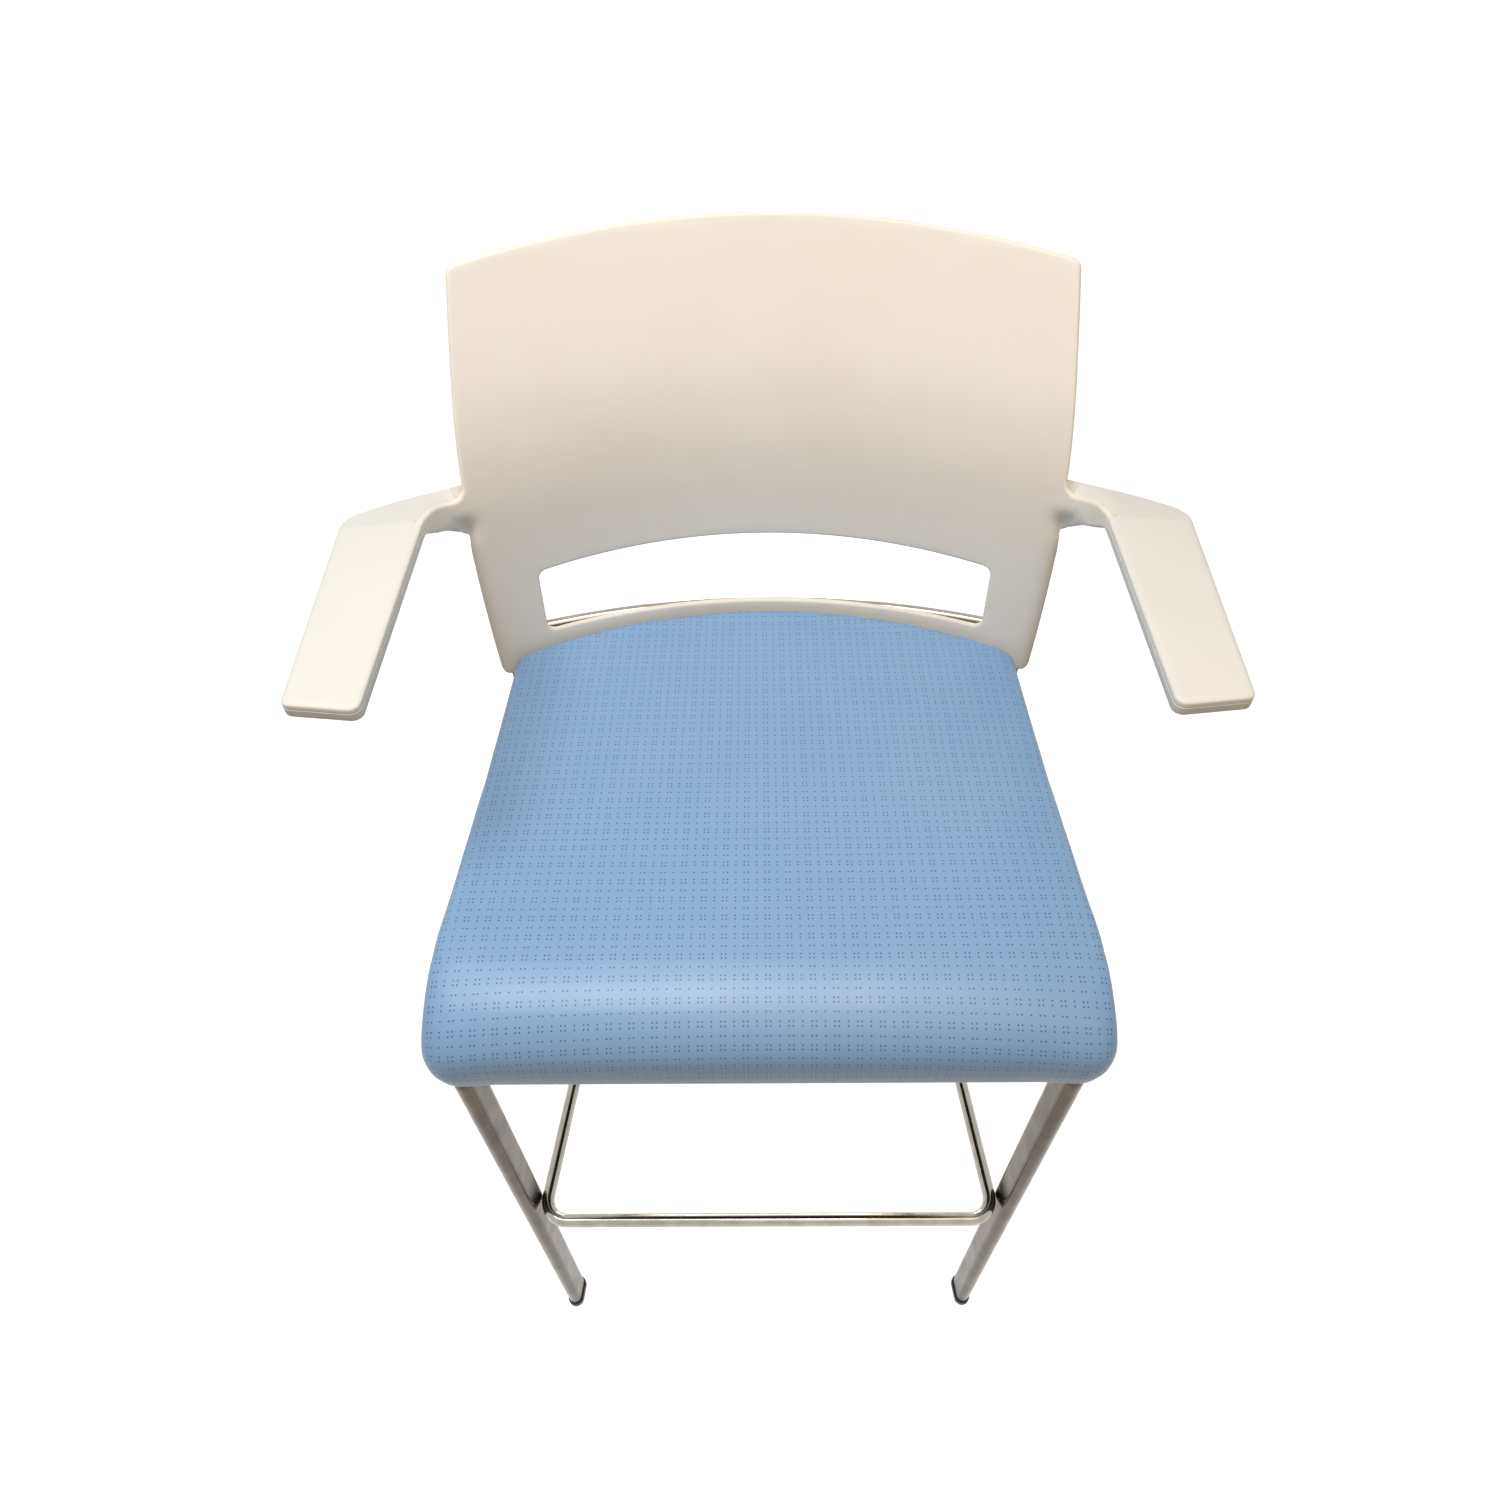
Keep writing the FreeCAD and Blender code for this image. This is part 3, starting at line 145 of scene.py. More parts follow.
def moulded_wall(loops, filling, face, depth, edge, steps=5):
    """Closed wall with rounded edges.

    loops are the outline, anticlockwise, and its holes, clockwise. face gives places and normals of the
    show side, depth the wall's thickness there, and edge the rounding: its reach outwards, and its fall at
    the show side and at the far side, each as one number or as one for each point of the outline.
    """
    reach, fall, far_fall = (np.reshape(value, (-1, 1)) for value in edge)
    outward, rims = [], []
    for loop in loops:
        along = np.roll(loop, -1, 0) - np.roll(loop, 1, 0)
        along /= np.linalg.norm(along, axis=1)[:, None]
        normal = np.stack([along[:, 1], -along[:, 0]], 1)
        outward.append(normal)
        rims.append(loop - normal * reach)
    flat = [Vector(point) for point in np.concatenate(rims + [filling])]
    edges, start = [], 0
    for rim in rims:
        edges.extend((start + index, start + (index + 1) % len(rim)) for index in range(len(rim)))
        start += len(rim)
    found = delaunay_2d_cdt(flat, edges, [], 0, 1e-5)
    flat = np.array(found[0])
    centres = np.array([flat[list(corners)].mean(0) for corners in found[2]])
    faces = [found[2][index] for index in np.flatnonzero(inside_of(rims, centres, 0))]
    place_of = {}
    for index, sources in enumerate(found[3]):
        place_of.update((source, index) for source in sources)
    show, normals = face(flat)
    far = show - normals * depth(flat)[:, None]
    count = len(flat)
    points = [show, far]
    solid = [list(corners) for corners in faces]
    solid += [[count + corner for corner in corners[::-1]] for corners in faces]
    total, start = 2 * count, 0
    for rim, normal in zip(rims, outward):
        keys = np.array([place_of[start + index] for index in range(len(rim))])
        start += len(rim)
        out = face(rim + normal * 0.05)[0] - face(rim)[0]
        out /= np.linalg.norm(out, axis=1)[:, None]
        rings = [keys]
        turns = np.linspace(0, math.pi / 2, steps + 1)[1:]
        bands = [(show, -fall, turn) for turn in turns] + [(far, far_fall, turn) for turn in turns[::-1]]
        for base, sink, turn in bands:
            outwards, inwards = reach * math.sin(turn), sink * (1 - math.cos(turn))
            points.append(base[keys] + out * outwards + normals[keys] * inwards)
            rings.append(total + np.arange(len(keys)))
            total += len(keys)
        rings.append(keys + count)
        for upper, lower in zip(rings, rings[1:]):
            for index in range(len(keys)):
                after = (index + 1) % len(keys)
                solid.append([upper[index], lower[index], lower[after], upper[after]])
    return np.concatenate(points), solid


def even_depth(thickness):
    """Depth of a wall that is equally thick everywhere."""
    return lambda flat: np.full(len(flat), thickness)


def loft(sections):
    """Closed solid through sections with the same number of points."""
    count = len(sections[0])
    faces = [list(range(count))[::-1]]
    for level in range(len(sections) - 1):
        low = level * count
        for index in range(count):
            after = (index + 1) % count
            faces.append([low + index, low + after, low + count + after, low + count + index])
    faces.append([(len(sections) - 1) * count + index for index in range(count)])
    return np.concatenate(sections), faces


# Back moulding: one thin wall, curved in plan and bent in side view, that turns forwards into the arms
PLAN_AXIS_Y = -343.97
PLAN_RADIUS = 520.0
BACK_LOW, BACK_HIGH, BACK_CORNER = 737.0, 1088.5, 1072.0
BACK_EDGE = 731.5  # low corners of the skin
LEAN, RECLINE = math.radians(4.6), math.radians(22.8)
BEND_HEIGHT, BEND_RADIUS = 945.0, 350.0
WALL = 5.5
WIDEST_HEIGHT, WIDEST_X, SIDE_BOW = 857.0, 245.8, 70.5
SIDE_FLARE, FLARE_FADE = 6.0, (866, 900)
ARM_TOP, ARM_LOW, BEAM_TOP = 931.0, 919.0, 926.0
ARM_MIDDLE = (ARM_TOP + ARM_LOW) / 2
ARM_INNER_FRONT = np.array((256.52, -129.97))
ARM_INNER_CREASE = np.array((262.52, 77.03))
ARM_OUTER_FRONT = np.array((308.52, -123.97))
ARM_OUTER_CREASE = np.array((325.02, 65.03))
TURN_RADIUS = 40.0
ROLL_BAND, ROLL_RADIUS, ROLL_FADE = 20.0, 25.0, (878, 904)
# Heights and run over which the skin goes over into the arm, and heights over which it is the back's again
ARM_FROM_BELOW, ARM_FROM_SIDE, ARM_END_ABOVE = (884, 908), (262, 274), (946, 966)
END_DIVE = 3.6  # how far the skin's end sinks into the beam


def back_radius(height):
    """Distance of the front skin from the back's upright plan axis."""
    tangent = BEND_RADIUS * math.tan((RECLINE - LEAN) / 2)
    low, high = BEND_HEIGHT - tangent * math.cos(LEAN), BEND_HEIGHT + tangent * math.cos(RECLINE)
    bend = PLAN_RADIUS + (BEND_HEIGHT - BACK_LOW) * math.tan(LEAN)
    middle = bend - tangent * math.sin(LEAN) + BEND_RADIUS * math.cos(LEAN)
    middle_height = low - BEND_RADIUS * math.sin(LEAN)
    arc = middle - np.sqrt(np.maximum(BEND_RADIUS ** 2 - (height - middle_height) ** 2, 0))
    lower = bend + (height - BEND_HEIGHT) * math.tan(LEAN)
    upper = bend + (height - BEND_HEIGHT) * math.tan(RECLINE)
    return np.where(height < low, lower, np.where(height > high, upper, arc))


ARM_RADIUS = float(back_radius(np.array(ARM_MIDDLE)))


def run_across(x, height):
    """Run along the back from its middle, measured at arm height, that reaches a width at a height."""
    return ARM_RADIUS * np.arcsin(x / back_radius(np.asarray(height, float)))


def side_run(height):
    """Run to the side edge, which flares where it rolls backwards below the arm."""
    flare = SIDE_FLARE * (1 - ease(height, *FLARE_FADE))
    return run_across(WIDEST_X - ((height - WIDEST_HEIGHT) / SIDE_BOW) ** 2 + flare, height)


def arm_turn():
    """Angle at which a turn of the set radius leaves the back's circle to meet the arm's inner line."""
    along = ARM_INNER_FRONT - ARM_INNER_CREASE
    along /= np.linalg.norm(along)
    outward = np.array((-along[1], along[0]))
    angles = np.linspace(0.3, 0.6, 6001)
    middles = np.stack([np.sin(angles), np.cos(angles)], 1) * (ARM_RADIUS - TURN_RADIUS) + (0, PLAN_AXIS_Y)
    miss = np.abs((middles - ARM_INNER_CREASE) @ outward + TURN_RADIUS)
    best = int(miss.argmin())
    return angles[best], middles[best], along


TURN_START, TURN_MIDDLE, ARM_ALONG = arm_turn()
TURN_STOP = math.atan2(-ARM_ALONG[1], ARM_ALONG[0])
TURN_RUN = TURN_START * ARM_RADIUS
TURN_LENGTH = (TURN_STOP - TURN_START) * TURN_RADIUS
ARM_RUN_START = TURN_MIDDLE + TURN_RADIUS * np.array((math.sin(TURN_STOP), math.cos(TURN_STOP)))
CREASE_RUN = TURN_RUN + TURN_LENGTH + np.linalg.norm(ARM_INNER_CREASE - ARM_RUN_START)
TAB_END = CREASE_RUN + 30.0
RIM_LOW, RIM_LOW_RUN = 914.2, 266.0
RIM_SLOPE = (ARM_TOP - RIM_LOW) / (CREASE_RUN + 2 - RIM_LOW_RUN)


def fascia_path(run, offset=0.0):
    """Plan places along the skin past the turn into the arm, moved outwards by an offset."""
    past = np.clip(run - TURN_RUN, 0, None)
    angle = TURN_START + np.minimum(past, TURN_LENGTH) / TURN_RADIUS
    straight = np.clip(past - TURN_LENGTH, 0, None)
    out = np.stack([np.sin(angle), np.cos(angle)], 1)
    return TURN_MIDDLE + out * (TURN_RADIUS + np.asarray(offset))[..., None] + straight[:, None] * ARM_ALONG


def front_place(points):
    """Places on the front skin at points (run, height); the left half mirrors the right."""
    side = np.where(points[:, 0] < 0, -1.0, 1.0)
    run, height = np.abs(points[:, 0]), points[:, 1]
    radius = back_radius(height)
    angle = run / ARM_RADIUS
    plan = np.stack([radius * np.sin(angle), PLAN_AXIS_Y + radius * np.cos(angle)], 1)
    dive = END_DIVE * ease(run, CREASE_RUN + 6, CREASE_RUN + 24)
    turned = fascia_path(run, dive)
    lean = (radius - ARM_RADIUS) * (1 - ease(run, TURN_RUN, TURN_RUN + 45))
    turned = turned + lean[:, None] * (math.sin(TURN_START), math.cos(TURN_START))
    share = np.maximum(ease(height, *ARM_FROM_BELOW), ease(run, *ARM_FROM_SIDE))
    share = share * (1 - ease(height, *ARM_END_ABOVE)) * (run > TURN_RUN)
    plan = plan * (1 - share)[:, None] + turned * share[:, None]
    rolled = np.clip(ROLL_BAND - (side_run(height) - run), 0, ROLL_BAND)
    roll = ROLL_RADIUS - np.sqrt(ROLL_RADIUS ** 2 - rolled ** 2)
    plan[:, 1] += roll * (1 - ease(height, *ROLL_FADE))
    return np.stack([plan[:, 0] * side, plan[:, 1], height], 1)


def front_skin(points):
    """Places and normals on the front skin."""
    step = 0.2
    across = front_place(points + (step, 0)) - front_place(points - (step, 0))
    up = front_place(points + (0, step)) - front_place(points - (0, step))
    normals = np.cross(across, up)
    return front_place(points), normals / np.linalg.norm(normals, axis=1)[:, None]


def back_outline():
    """Half outline of the back with its arm's fascia, in run and height, and its mirror image."""
    low_sides = np.arange(756, 868, 7.0)
    high_sides = np.arange(934, 1060, 7.0)
    top_x = np.arange(222, 4, -8.0)
    half = [(side_run(BACK_EDGE), BACK_EDGE, 9.0)]
    half += [(side_run(height), height, 0) for height in low_sides]
    half += [(side_run(876.0), 876.0, 5.0), (281.0, 894.2, 30.0), (CREASE_RUN - 1.4, ARM_LOW - 1.8, 20.0)]
    half += [(TAB_END, ARM_LOW + 1.5, 2.0), (TAB_END, BEAM_TOP - 3.0, 2.0)]
    half += [(CREASE_RUN - 1, ARM_TOP - 0.2, 18.0)]
    root_height = RIM_LOW - RIM_SLOPE * (RIM_LOW_RUN - side_run(RIM_LOW))
    half += [(side_run(RIM_LOW), root_height, 10.5)]
    half += [(side_run(height), height, 0) for height in high_sides]
    half += [(side_run(BACK_CORNER), BACK_CORNER, 8.0)]
    top_half = 237.0
    heights = BACK_HIGH - (BACK_HIGH - BACK_CORNER) * (top_x / top_half) ** 2
    half += [(run_across(x, height), height, 0) for x, height in zip(top_x, heights)]
    half = [(float(run), float(height), radius) for run, height, radius in half]
    return half + [(-run, height, radius) for run, height, radius in half[::-1]]


def slot_outline():
    """Hand slot with arched edges above and below, clockwise."""
    low_corner, low, corner, top, half = 768.0, 770.5, 830.0, 841.0, 200.5
    x = np.arange(184, 4, -8.0)
    lows = low - (low - low_corner) * (x / half) ** 2
    highs = top - (top - corner) * (x / half) ** 2
    right = [(run_across(place, height), height, 0) for place, height in zip(x[::-1], lows[::-1])]
    right += [(run_across(half, low_corner), low_corner, 8.0), (run_across(half, corner), corner, 8.0)]
    right += [(run_across(place, height), height, 0) for place, height in zip(x, highs)]
    right = [(float(run), float(height), radius) for run, height, radius in right]
    loop = right + [(-run, height, radius) for run, height, radius in right[::-1]]
    return loop[::-1]


def back_filling():
    """Points inside the back's outline, closer together along its rolled sides and in the fascias."""
    run, height = np.meshgrid(np.arange(-273, 274, 6.5), np.arange(733.5, 1090, 6.5))
    main = np.stack([run.ravel(), height.ravel()], 1)
    main = main[np.abs(main[:, 0]) < side_run(main[:, 1]) - 23]
    edge, height = np.meshgrid((2.2, 4, 6, 8, 10.5, 13, 16, 19, 22), np.arange(739, 1080, 4.0))
    edge = np.stack([side_run(height.ravel()) - edge.ravel(), height.ravel()], 1)
    edge = edge[(edge[:, 1] < 862) | (edge[:, 1] > 936)]
    run, height = np.meshgrid(np.arange(232, TAB_END, 2.6), np.arange(863, 936, 2.6))
    tab = np.stack([run.ravel(), height.ravel()], 1)
    tab = tab[tab[:, 0] > side_run(tab[:, 1]) - 22]
    halves = np.concatenate([edge, tab])
    return np.concatenate([main, halves, halves * (-1, 1)])


def back_wall():
    loops = [rounded_outline(back_outline(), 4.0), rounded_outline(slot_outline(), 4.0)]
    rounding = WALL / 2
    filling = back_filling()
    filling = filling[inside_of(loops, filling, rounding + 1.2)]
    return moulded_wall(loops, filling, front_skin, even_depth(WALL), (rounding, rounding, rounding))


# Sleeves round the uprights, behind the lower sides of the back
UPRIGHT_X, PIVOT_Y, PIVOT_HEIGHT = 235.52, 131.03, 672.0


def upright_sleeve():
    """Tapering-ended sleeve along the leaning upright, with a domed top."""
    half, front, rear = 8.0, -10.0, 14.7
    corners = [(-half, front, 4.0), (half, front, 4.0), (half, rear, 7.6), (-half, rear, 7.6)]
    section = rounded_outline(corners, 2.0)
    top, dome = 897.0, 14
    levels = [(BACK_EDGE + 0.4, 0.94), (BACK_EDGE + 1.6, 1.0)]
    levels += [(height, 1.0) for height in np.linspace(BACK_EDGE + 12, top - dome, 12)]
    for turn in np.linspace(0.15, 1.5, 9):
        levels.append((top - dome + dome * math.sin(turn), max(math.cos(turn), 0.05)))
    rings = []
    for height, share in levels:
        ring = section * share
        y = PIVOT_Y + (height - PIVOT_HEIGHT) * math.tan(LEAN) + ring[:, 1] + 4.0 * (1 - share)
        rings.append(np.stack([UPRIGHT_X + ring[:, 0], y, np.full(len(ring), height)], 1))
    return loft(rings)


# Arms: beam and neck belong to the back's moulding, the cap is a piece of its own
CREASE_ALONG = (ARM_OUTER_CREASE - ARM_INNER_CREASE) / np.linalg.norm(ARM_OUTER_CREASE - ARM_INNER_CREASE)
CREASE_BACK = np.array((-CREASE_ALONG[1], CREASE_ALONG[0]))
NECK_TOP = 930.4
NECK_FALL = 0.2
NECK_REAR = [(328.0, 90.5, 28.0), (298.0, 118.5, 200.0), (247.0, 153.0, 3.0), (238.0, 141.0, 2.0)]
NECK_SOFTNESS = 0.6
# Pocket behind the neck's root, and over which distances from its root line and rear rim it deepens
POCKET_DEPTH, POCKET_ROOT, POCKET_RIM = 15, (254.8, 257.2), (3.2, 5.0)


def behind_crease(plan):
    return (plan - ARM_INNER_CREASE) @ CREASE_BACK


def crease_place(along, behind):
    """Plan places at runs along the crease and distances behind it."""
    return ARM_INNER_CREASE + along.ravel()[:, None] * CREASE_ALONG + behind.ravel()[:, None] * CREASE_BACK


def beside_crease(start, gap):
    """Plan places in pairs, a gap before and a gap behind the crease."""
    behind, along = np.meshgrid((-gap, gap), np.arange(start, 61, 2.4))
    return crease_place(along, behind)


def beside_fascia(plan):
    """Run along the fascia to where it passes closest to plan places, and how far they lie from it."""
    angles = np.linspace(0.40, TURN_START, 60)
    start = np.stack([np.sin(angles), np.cos(angles)], 1) * ARM_RADIUS + (0, PLAN_AXIS_Y)
    runs = np.linspace(TURN_RUN, CREASE_RUN, 240)
    line = np.concatenate([start, fascia_path(runs)])
    runs = np.concatenate([angles * ARM_RADIUS, runs])
    apart = np.sqrt(((plan[:, None] - line[None]) ** 2).sum(2))
    return runs[apart.argmin(1)], apart.min(1)


def neck_top(plan):
    """Height of the neck's plate, which falls from the crease and dips along the rim and at its root."""
    behind = np.clip(behind_crease(plan), 0, None)
    run, apart = beside_fascia(plan)
    rim = np.clip(RIM_LOW + RIM_SLOPE * (run - RIM_LOW_RUN), RIM_LOW, ARM_TOP) - 0.7
    sloping, dipped = NECK_TOP - NECK_FALL * behind, rim + 0.3 * apart
    height = -NECK_SOFTNESS * np.logaddexp(-sloping / NECK_SOFTNESS, -dipped / NECK_SOFTNESS)
    root = plan[:, 0] - 0.78 * (plan[:, 1] - 140)
    rear = (plan - NECK_REAR[1][:2]) @ (-0.560, -0.828)
    height -= POCKET_DEPTH * (1 - ease(root, *POCKET_ROOT)) * ease(rear, *POCKET_RIM) * (behind > 20)
    return np.where(behind > 0, height, BEAM_TOP - 0.1)


def neck_depth(plan):
    """Thickness of beam and neck; the neck's web grows deeper towards its root."""
    behind = np.clip(behind_crease(plan), 0, None)
    web = 0.5 * np.clip(beside_fascia(plan)[1] - 3, 0, None) * ease(behind, 4, 50)
    return np.maximum(neck_top(plan) - ARM_LOW + np.minimum(web, 34), 7.0)


def neck_face(plan):
    height = neck_top(plan)
    normals = np.zeros((len(plan), 3))
    normals[:, 2] = 1
    return np.column_stack([plan, height]), normals


def arm_beam():
    fascia = fascia_path(np.linspace(CREASE_RUN + 2, TURN_RUN, 26), 2.2)
    corners = [(*ARM_INNER_FRONT, 7.0), (*ARM_OUTER_FRONT, 7.0), *NECK_REAR]
    corners += [(x, y, 0) for x, y in fascia[::-1]]
    corners += [(*(ARM_INNER_CREASE + ARM_ALONG * 8), 0)]
    outline = rounded_outline(corners, 3.0)
    along, behind = np.meshgrid(np.arange(-8, 80, 3.4), np.arange(-200, 90, 3.4))
    places = crease_place(along, behind)
    filling = np.concatenate([places[np.abs(behind_crease(places)) > 1.5], beside_crease(2, 0.25)])
    filling = filling[inside_of([outline], filling, 3.4)]
    top_fall = 0.3 + 1.5 * ease(behind_crease(outline), -4, 4)
    return moulded_wall([outline], filling, neck_face, neck_depth, (2.6, top_fall, 1.6))


def cap_face(plan):
    """The cap's level top; behind the crease it steps down and runs on under the neck's plate."""
    step_down = 4.5
    height = ARM_TOP - step_down * (behind_crease(plan) > 0)
    return np.column_stack([plan, height]), np.tile((0.0, 0.0, 1.0), (len(plan), 1))


def arm_cap():
    """Cap with bevelled edges, a hair inside the beam's outline."""
    outer_along = ARM_OUTER_CREASE - ARM_OUTER_FRONT
    outer_along /= np.linalg.norm(outer_along)
    hair, run_on, bevel = 0.15, 9, (5.6, 2.2, 0.3)
    inner, outer = ARM_INNER_CREASE + (hair, 0), ARM_OUTER_CREASE - (hair, 0)
    corners = [(*(ARM_INNER_FRONT + (hair, hair)), 7.0), (*(ARM_OUTER_FRONT + (-hair, hair)), 7.0)]
    corners += [(*(outer + outer_along * step), 0) for step in (-0.2, 0.2)]
    corners += [(*(outer + outer_along * run_on), 6.5), (*(inner - ARM_ALONG * run_on), 6.5)]
    corners += [(*(inner + ARM_ALONG * step), 0) for step in (-0.2, 0.2)]
    outline = rounded_outline(corners, 3.0)
    x, y = np.meshgrid(np.arange(256, 326, 4.0), np.arange(-130, 90, 4.0))
    places = np.stack([x.ravel(), y.ravel()], 1)
    filling = np.concatenate([places[np.abs(behind_crease(places)) > 1.5], beside_crease(4, 0.2)])
    filling = filling[inside_of([outline], filling, 6.6)]
    return moulded_wall([outline], filling, cap_face, even_depth(ARM_TOP - BEAM_TOP), bevel)


# Seat cushion: foam under a stretched cover, filled out by pressure from a slightly smaller form
SEAT_LOW, SEAT_TOP = 690.0, 762.0
NOSE_FRONT, NOSE_REACH = -270.0, 110.0
NOSE_LOW, NOSE_RISE = 715.5, 44.0
NOSE_FILL = 3.6  # how far the nose is filled out below its shoulder
FOLD_ACROSS, FOLD_AHEAD = 2.5, 2.0  # how far the folds at the low front corners stand out
REAR_LIFT, REAR_LIFT_FALL, REAR_CORNER_FALL = 11.5, 0.052, 10  # lift of the rear edge, less towards its ends


def seat_form():
    """The cover and what fills it as one closed, evenly meshed skin."""
    form = bmesh.new()
    for node in ("seat_cover", "seat_foam", "seat_pan"):
        form.from_mesh(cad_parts[node].data)
    mesh = bpy.data.meshes.new("seat_cushion")
    form.to_mesh(mesh)
    form.free()
    cushion = link_piece("seat_cushion", mesh)
    remesh = cushion.modifiers.new("even_mesh", "REMESH")
    remesh.mode = "VOXEL"
    remesh.voxel_size = 5 * MM
    even = cushion.modifiers.new("even_out", "SMOOTH")
    even.factor, even.iterations = 0.5, 4
    settle(cushion)
    return cushion


def settle(piece):
    """Applies a piece's modifiers."""
    view = bpy.context.evaluated_depsgraph_get()
    mesh = bpy.data.meshes.new_from_object(piece.evaluated_get(view))
    piece.modifiers.clear()
    old = piece.data
    piece.data = mesh
    bpy.data.meshes.remove(old)
    mesh.name = piece.name


def vertex_places(mesh):
    places = np.empty(len(mesh.vertices) * 3, np.float32)
    mesh.vertices.foreach_get("co", places)
    return places.reshape(-1, 3).astype(float)


def set_vertex_places(mesh, places):
    mesh.vertices.foreach_set("co", places.astype(np.float32).ravel())
    mesh.update()


def ahead_of_back(places):
    """Distance of each place, in mm, from the curve of the back's front."""
    return PLAN_AXIS_Y + np.sqrt(PLAN_RADIUS ** 2 - places[:, 0] ** 2) - places[:, 1]


def fill_out(cushion):
    """Swells the cover against its foam; the underside is held, as by its staples."""
    shrink, least, most, pressure, frames = 2.5 * MM, -0.6 * MM, 2.5 * MM, 4, 20
    mesh = cushion.data
    places = vertex_places(mesh)
    normals = np.empty(len(places) * 3, np.float32)
    mesh.vertices.foreach_get("normal", normals)
    normals = normals.reshape(-1, 3).astype(float)
    held = places[:, 2] < (SEAT_LOW + 7) * MM
    set_vertex_places(mesh, places - normals * shrink * ~held[:, None])
    group = cushion.vertex_groups.new(name="held")
    group.add(np.flatnonzero(held).tolist(), 1.0, "REPLACE")
    cloth = cushion.modifiers.new("cover", "CLOTH")
    cloth.settings.use_pressure = True
    cloth.settings.uniform_pressure_force = pressure
    cloth.settings.effector_weights.gravity = 0
    cloth.settings.vertex_group_mass = "held"
    scene = bpy.context.scene
    for number in range(1, frames + 1):
        scene.frame_set(number)
    swollen = vertex_places(cushion.evaluated_get(bpy.context.evaluated_depsgraph_get()).data)
    cushion.modifiers.clear()
    cushion.vertex_groups.clear()
    scene.frame_set(1)
    outward = np.clip(((swollen - places) * normals).sum(1), least, most) * ~held
    set_vertex_places(mesh, places + normals * outward[:, None])


def lay_cover(mesh):
    """Stores where each point of the skin lies on the flat cover, so that its holes follow the nose."""
    places = vertex_places(mesh) / MM
    turns = np.linspace(0, math.pi / 2, 60)
    nose_y, nose_height = NOSE_REACH * (1 - np.cos(turns)) + NOSE_FRONT, NOSE_LOW + NOSE_RISE * np.sin(turns)
    nose = np.stack([nose_y, nose_height], 1)
    level = NOSE_LOW + NOSE_RISE
    profile = np.concatenate([[(NOSE_FRONT + 2, SEAT_LOW)], nose, [(-NOSE_FRONT, level)]])
    steps = np.diff(profile, axis=0)
    lengths = np.linalg.norm(steps, axis=1)
    starts = np.concatenate([[0], np.cumsum(lengths)[:-1]])
    run, drop = np.zeros(len(places)), np.full(len(places), np.inf)
    for corner, step, length, start in zip(profile, steps, lengths, starts):
        share = np.clip((places[:, 1:] - corner) @ step / length ** 2, 0, 1)
        apart = np.linalg.norm(places[:, 1:] - corner - share[:, None] * step, axis=1)
        closer = apart < drop
        run = np.where(closer, start + share * length, run)
        drop = np.where(closer, apart, drop)
    rear = 1 - ease(ahead_of_back(places), 6, 14)
    below = np.clip(drop - 6, 0, None) * (np.abs(places[:, 0]) > 150) * (1 - rear)
    run += rear * np.clip(level - places[:, 2], 0, None)
    corner_sag, half_width, side_stretch = 11, 240, 0.8
    sag = corner_sag * (places[:, 0] / half_width) ** 2 * (1 - ease(run, 10, 130))
    across = places[:, 0] + np.sign(places[:, 0]) * side_stretch * below
    cover = mesh.attributes.new("cover_place", "FLOAT_VECTOR", "POINT")
    flat = np.stack([across, run + sag, np.zeros(len(run))], 1) * MM
    cover.data.foreach_set("vector", flat.astype(np.float32).ravel())


def dust_cover_sheet():
    """The dust cover's cut, flat and level with the seat's underside, in pieces of about 20 mm."""
    sheet = bmesh.new()
    sheet.from_mesh(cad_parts["seat_dust_cover"].data)
    sheet.normal_update()
    upper = [face for face in sheet.faces if face.normal.z > -0.5]
    bmesh.ops.delete(sheet, geom=upper, context="FACES")
    for direction in ((1, 0, 0), (0, 1, 0)):
        for step in np.arange(-0.24, 0.25, 0.02):
            everything = sheet.verts[:] + sheet.edges[:] + sheet.faces[:]
            place = Vector(direction) * step
            bmesh.ops.bisect_plane(sheet, geom=everything, plane_co=place, plane_no=direction)
    return sheet


def clear_underside(cushion, sheet):
    """Lifts the cushion's underside off the dust cover."""
    cut = BVHTree.FromBMesh(sheet)
    mesh = cushion.data
    places = vertex_places(mesh)
    for place in places[places[:, 2] < (SEAT_LOW + 4) * MM]:
        if cut.ray_cast(Vector((place[0], place[1], 0)), Vector((0, 0, 1)))[0]:
            place[2] = max(place[2], (SEAT_LOW + 1.6) * MM)
    set_vertex_places(mesh, places)


def dust_cover(sheet):
    """Spunbond cloth stapled inside the cover's lip, sagging a little between the rails."""
    area = sum(face.calc_area() for face in sheet.faces)
    places = np.array([vert.co for vert in sheet.verts])
    width, length = np.ptp(places[:, 0]), np.ptp(places[:, 1])
    half_bay, bay_middle_y, lift, sag = 0.15, -0.04, 0.8 * MM, 2.4 * MM
    for vert in sheet.verts:
        across, along = vert.co.x / half_bay, (vert.co.y - bay_middle_y) / half_bay
        vert.co.z += lift - sag * max(1 - across ** 2, 0) * max(1 - along ** 2, 0)
    mesh = bpy.data.meshes.new("seat_dust_cloth")
    sheet.to_mesh(mesh)
    sheet.free()
    cloth = link_piece("seat_dust_cloth", mesh)
    body = cloth.modifiers.new("thickness", "SOLIDIFY")
    body.thickness, body.offset = 0.5 * MM, 0
    settle(cloth)
    cloth.data.shade_smooth()
    return cloth, (width, length), area


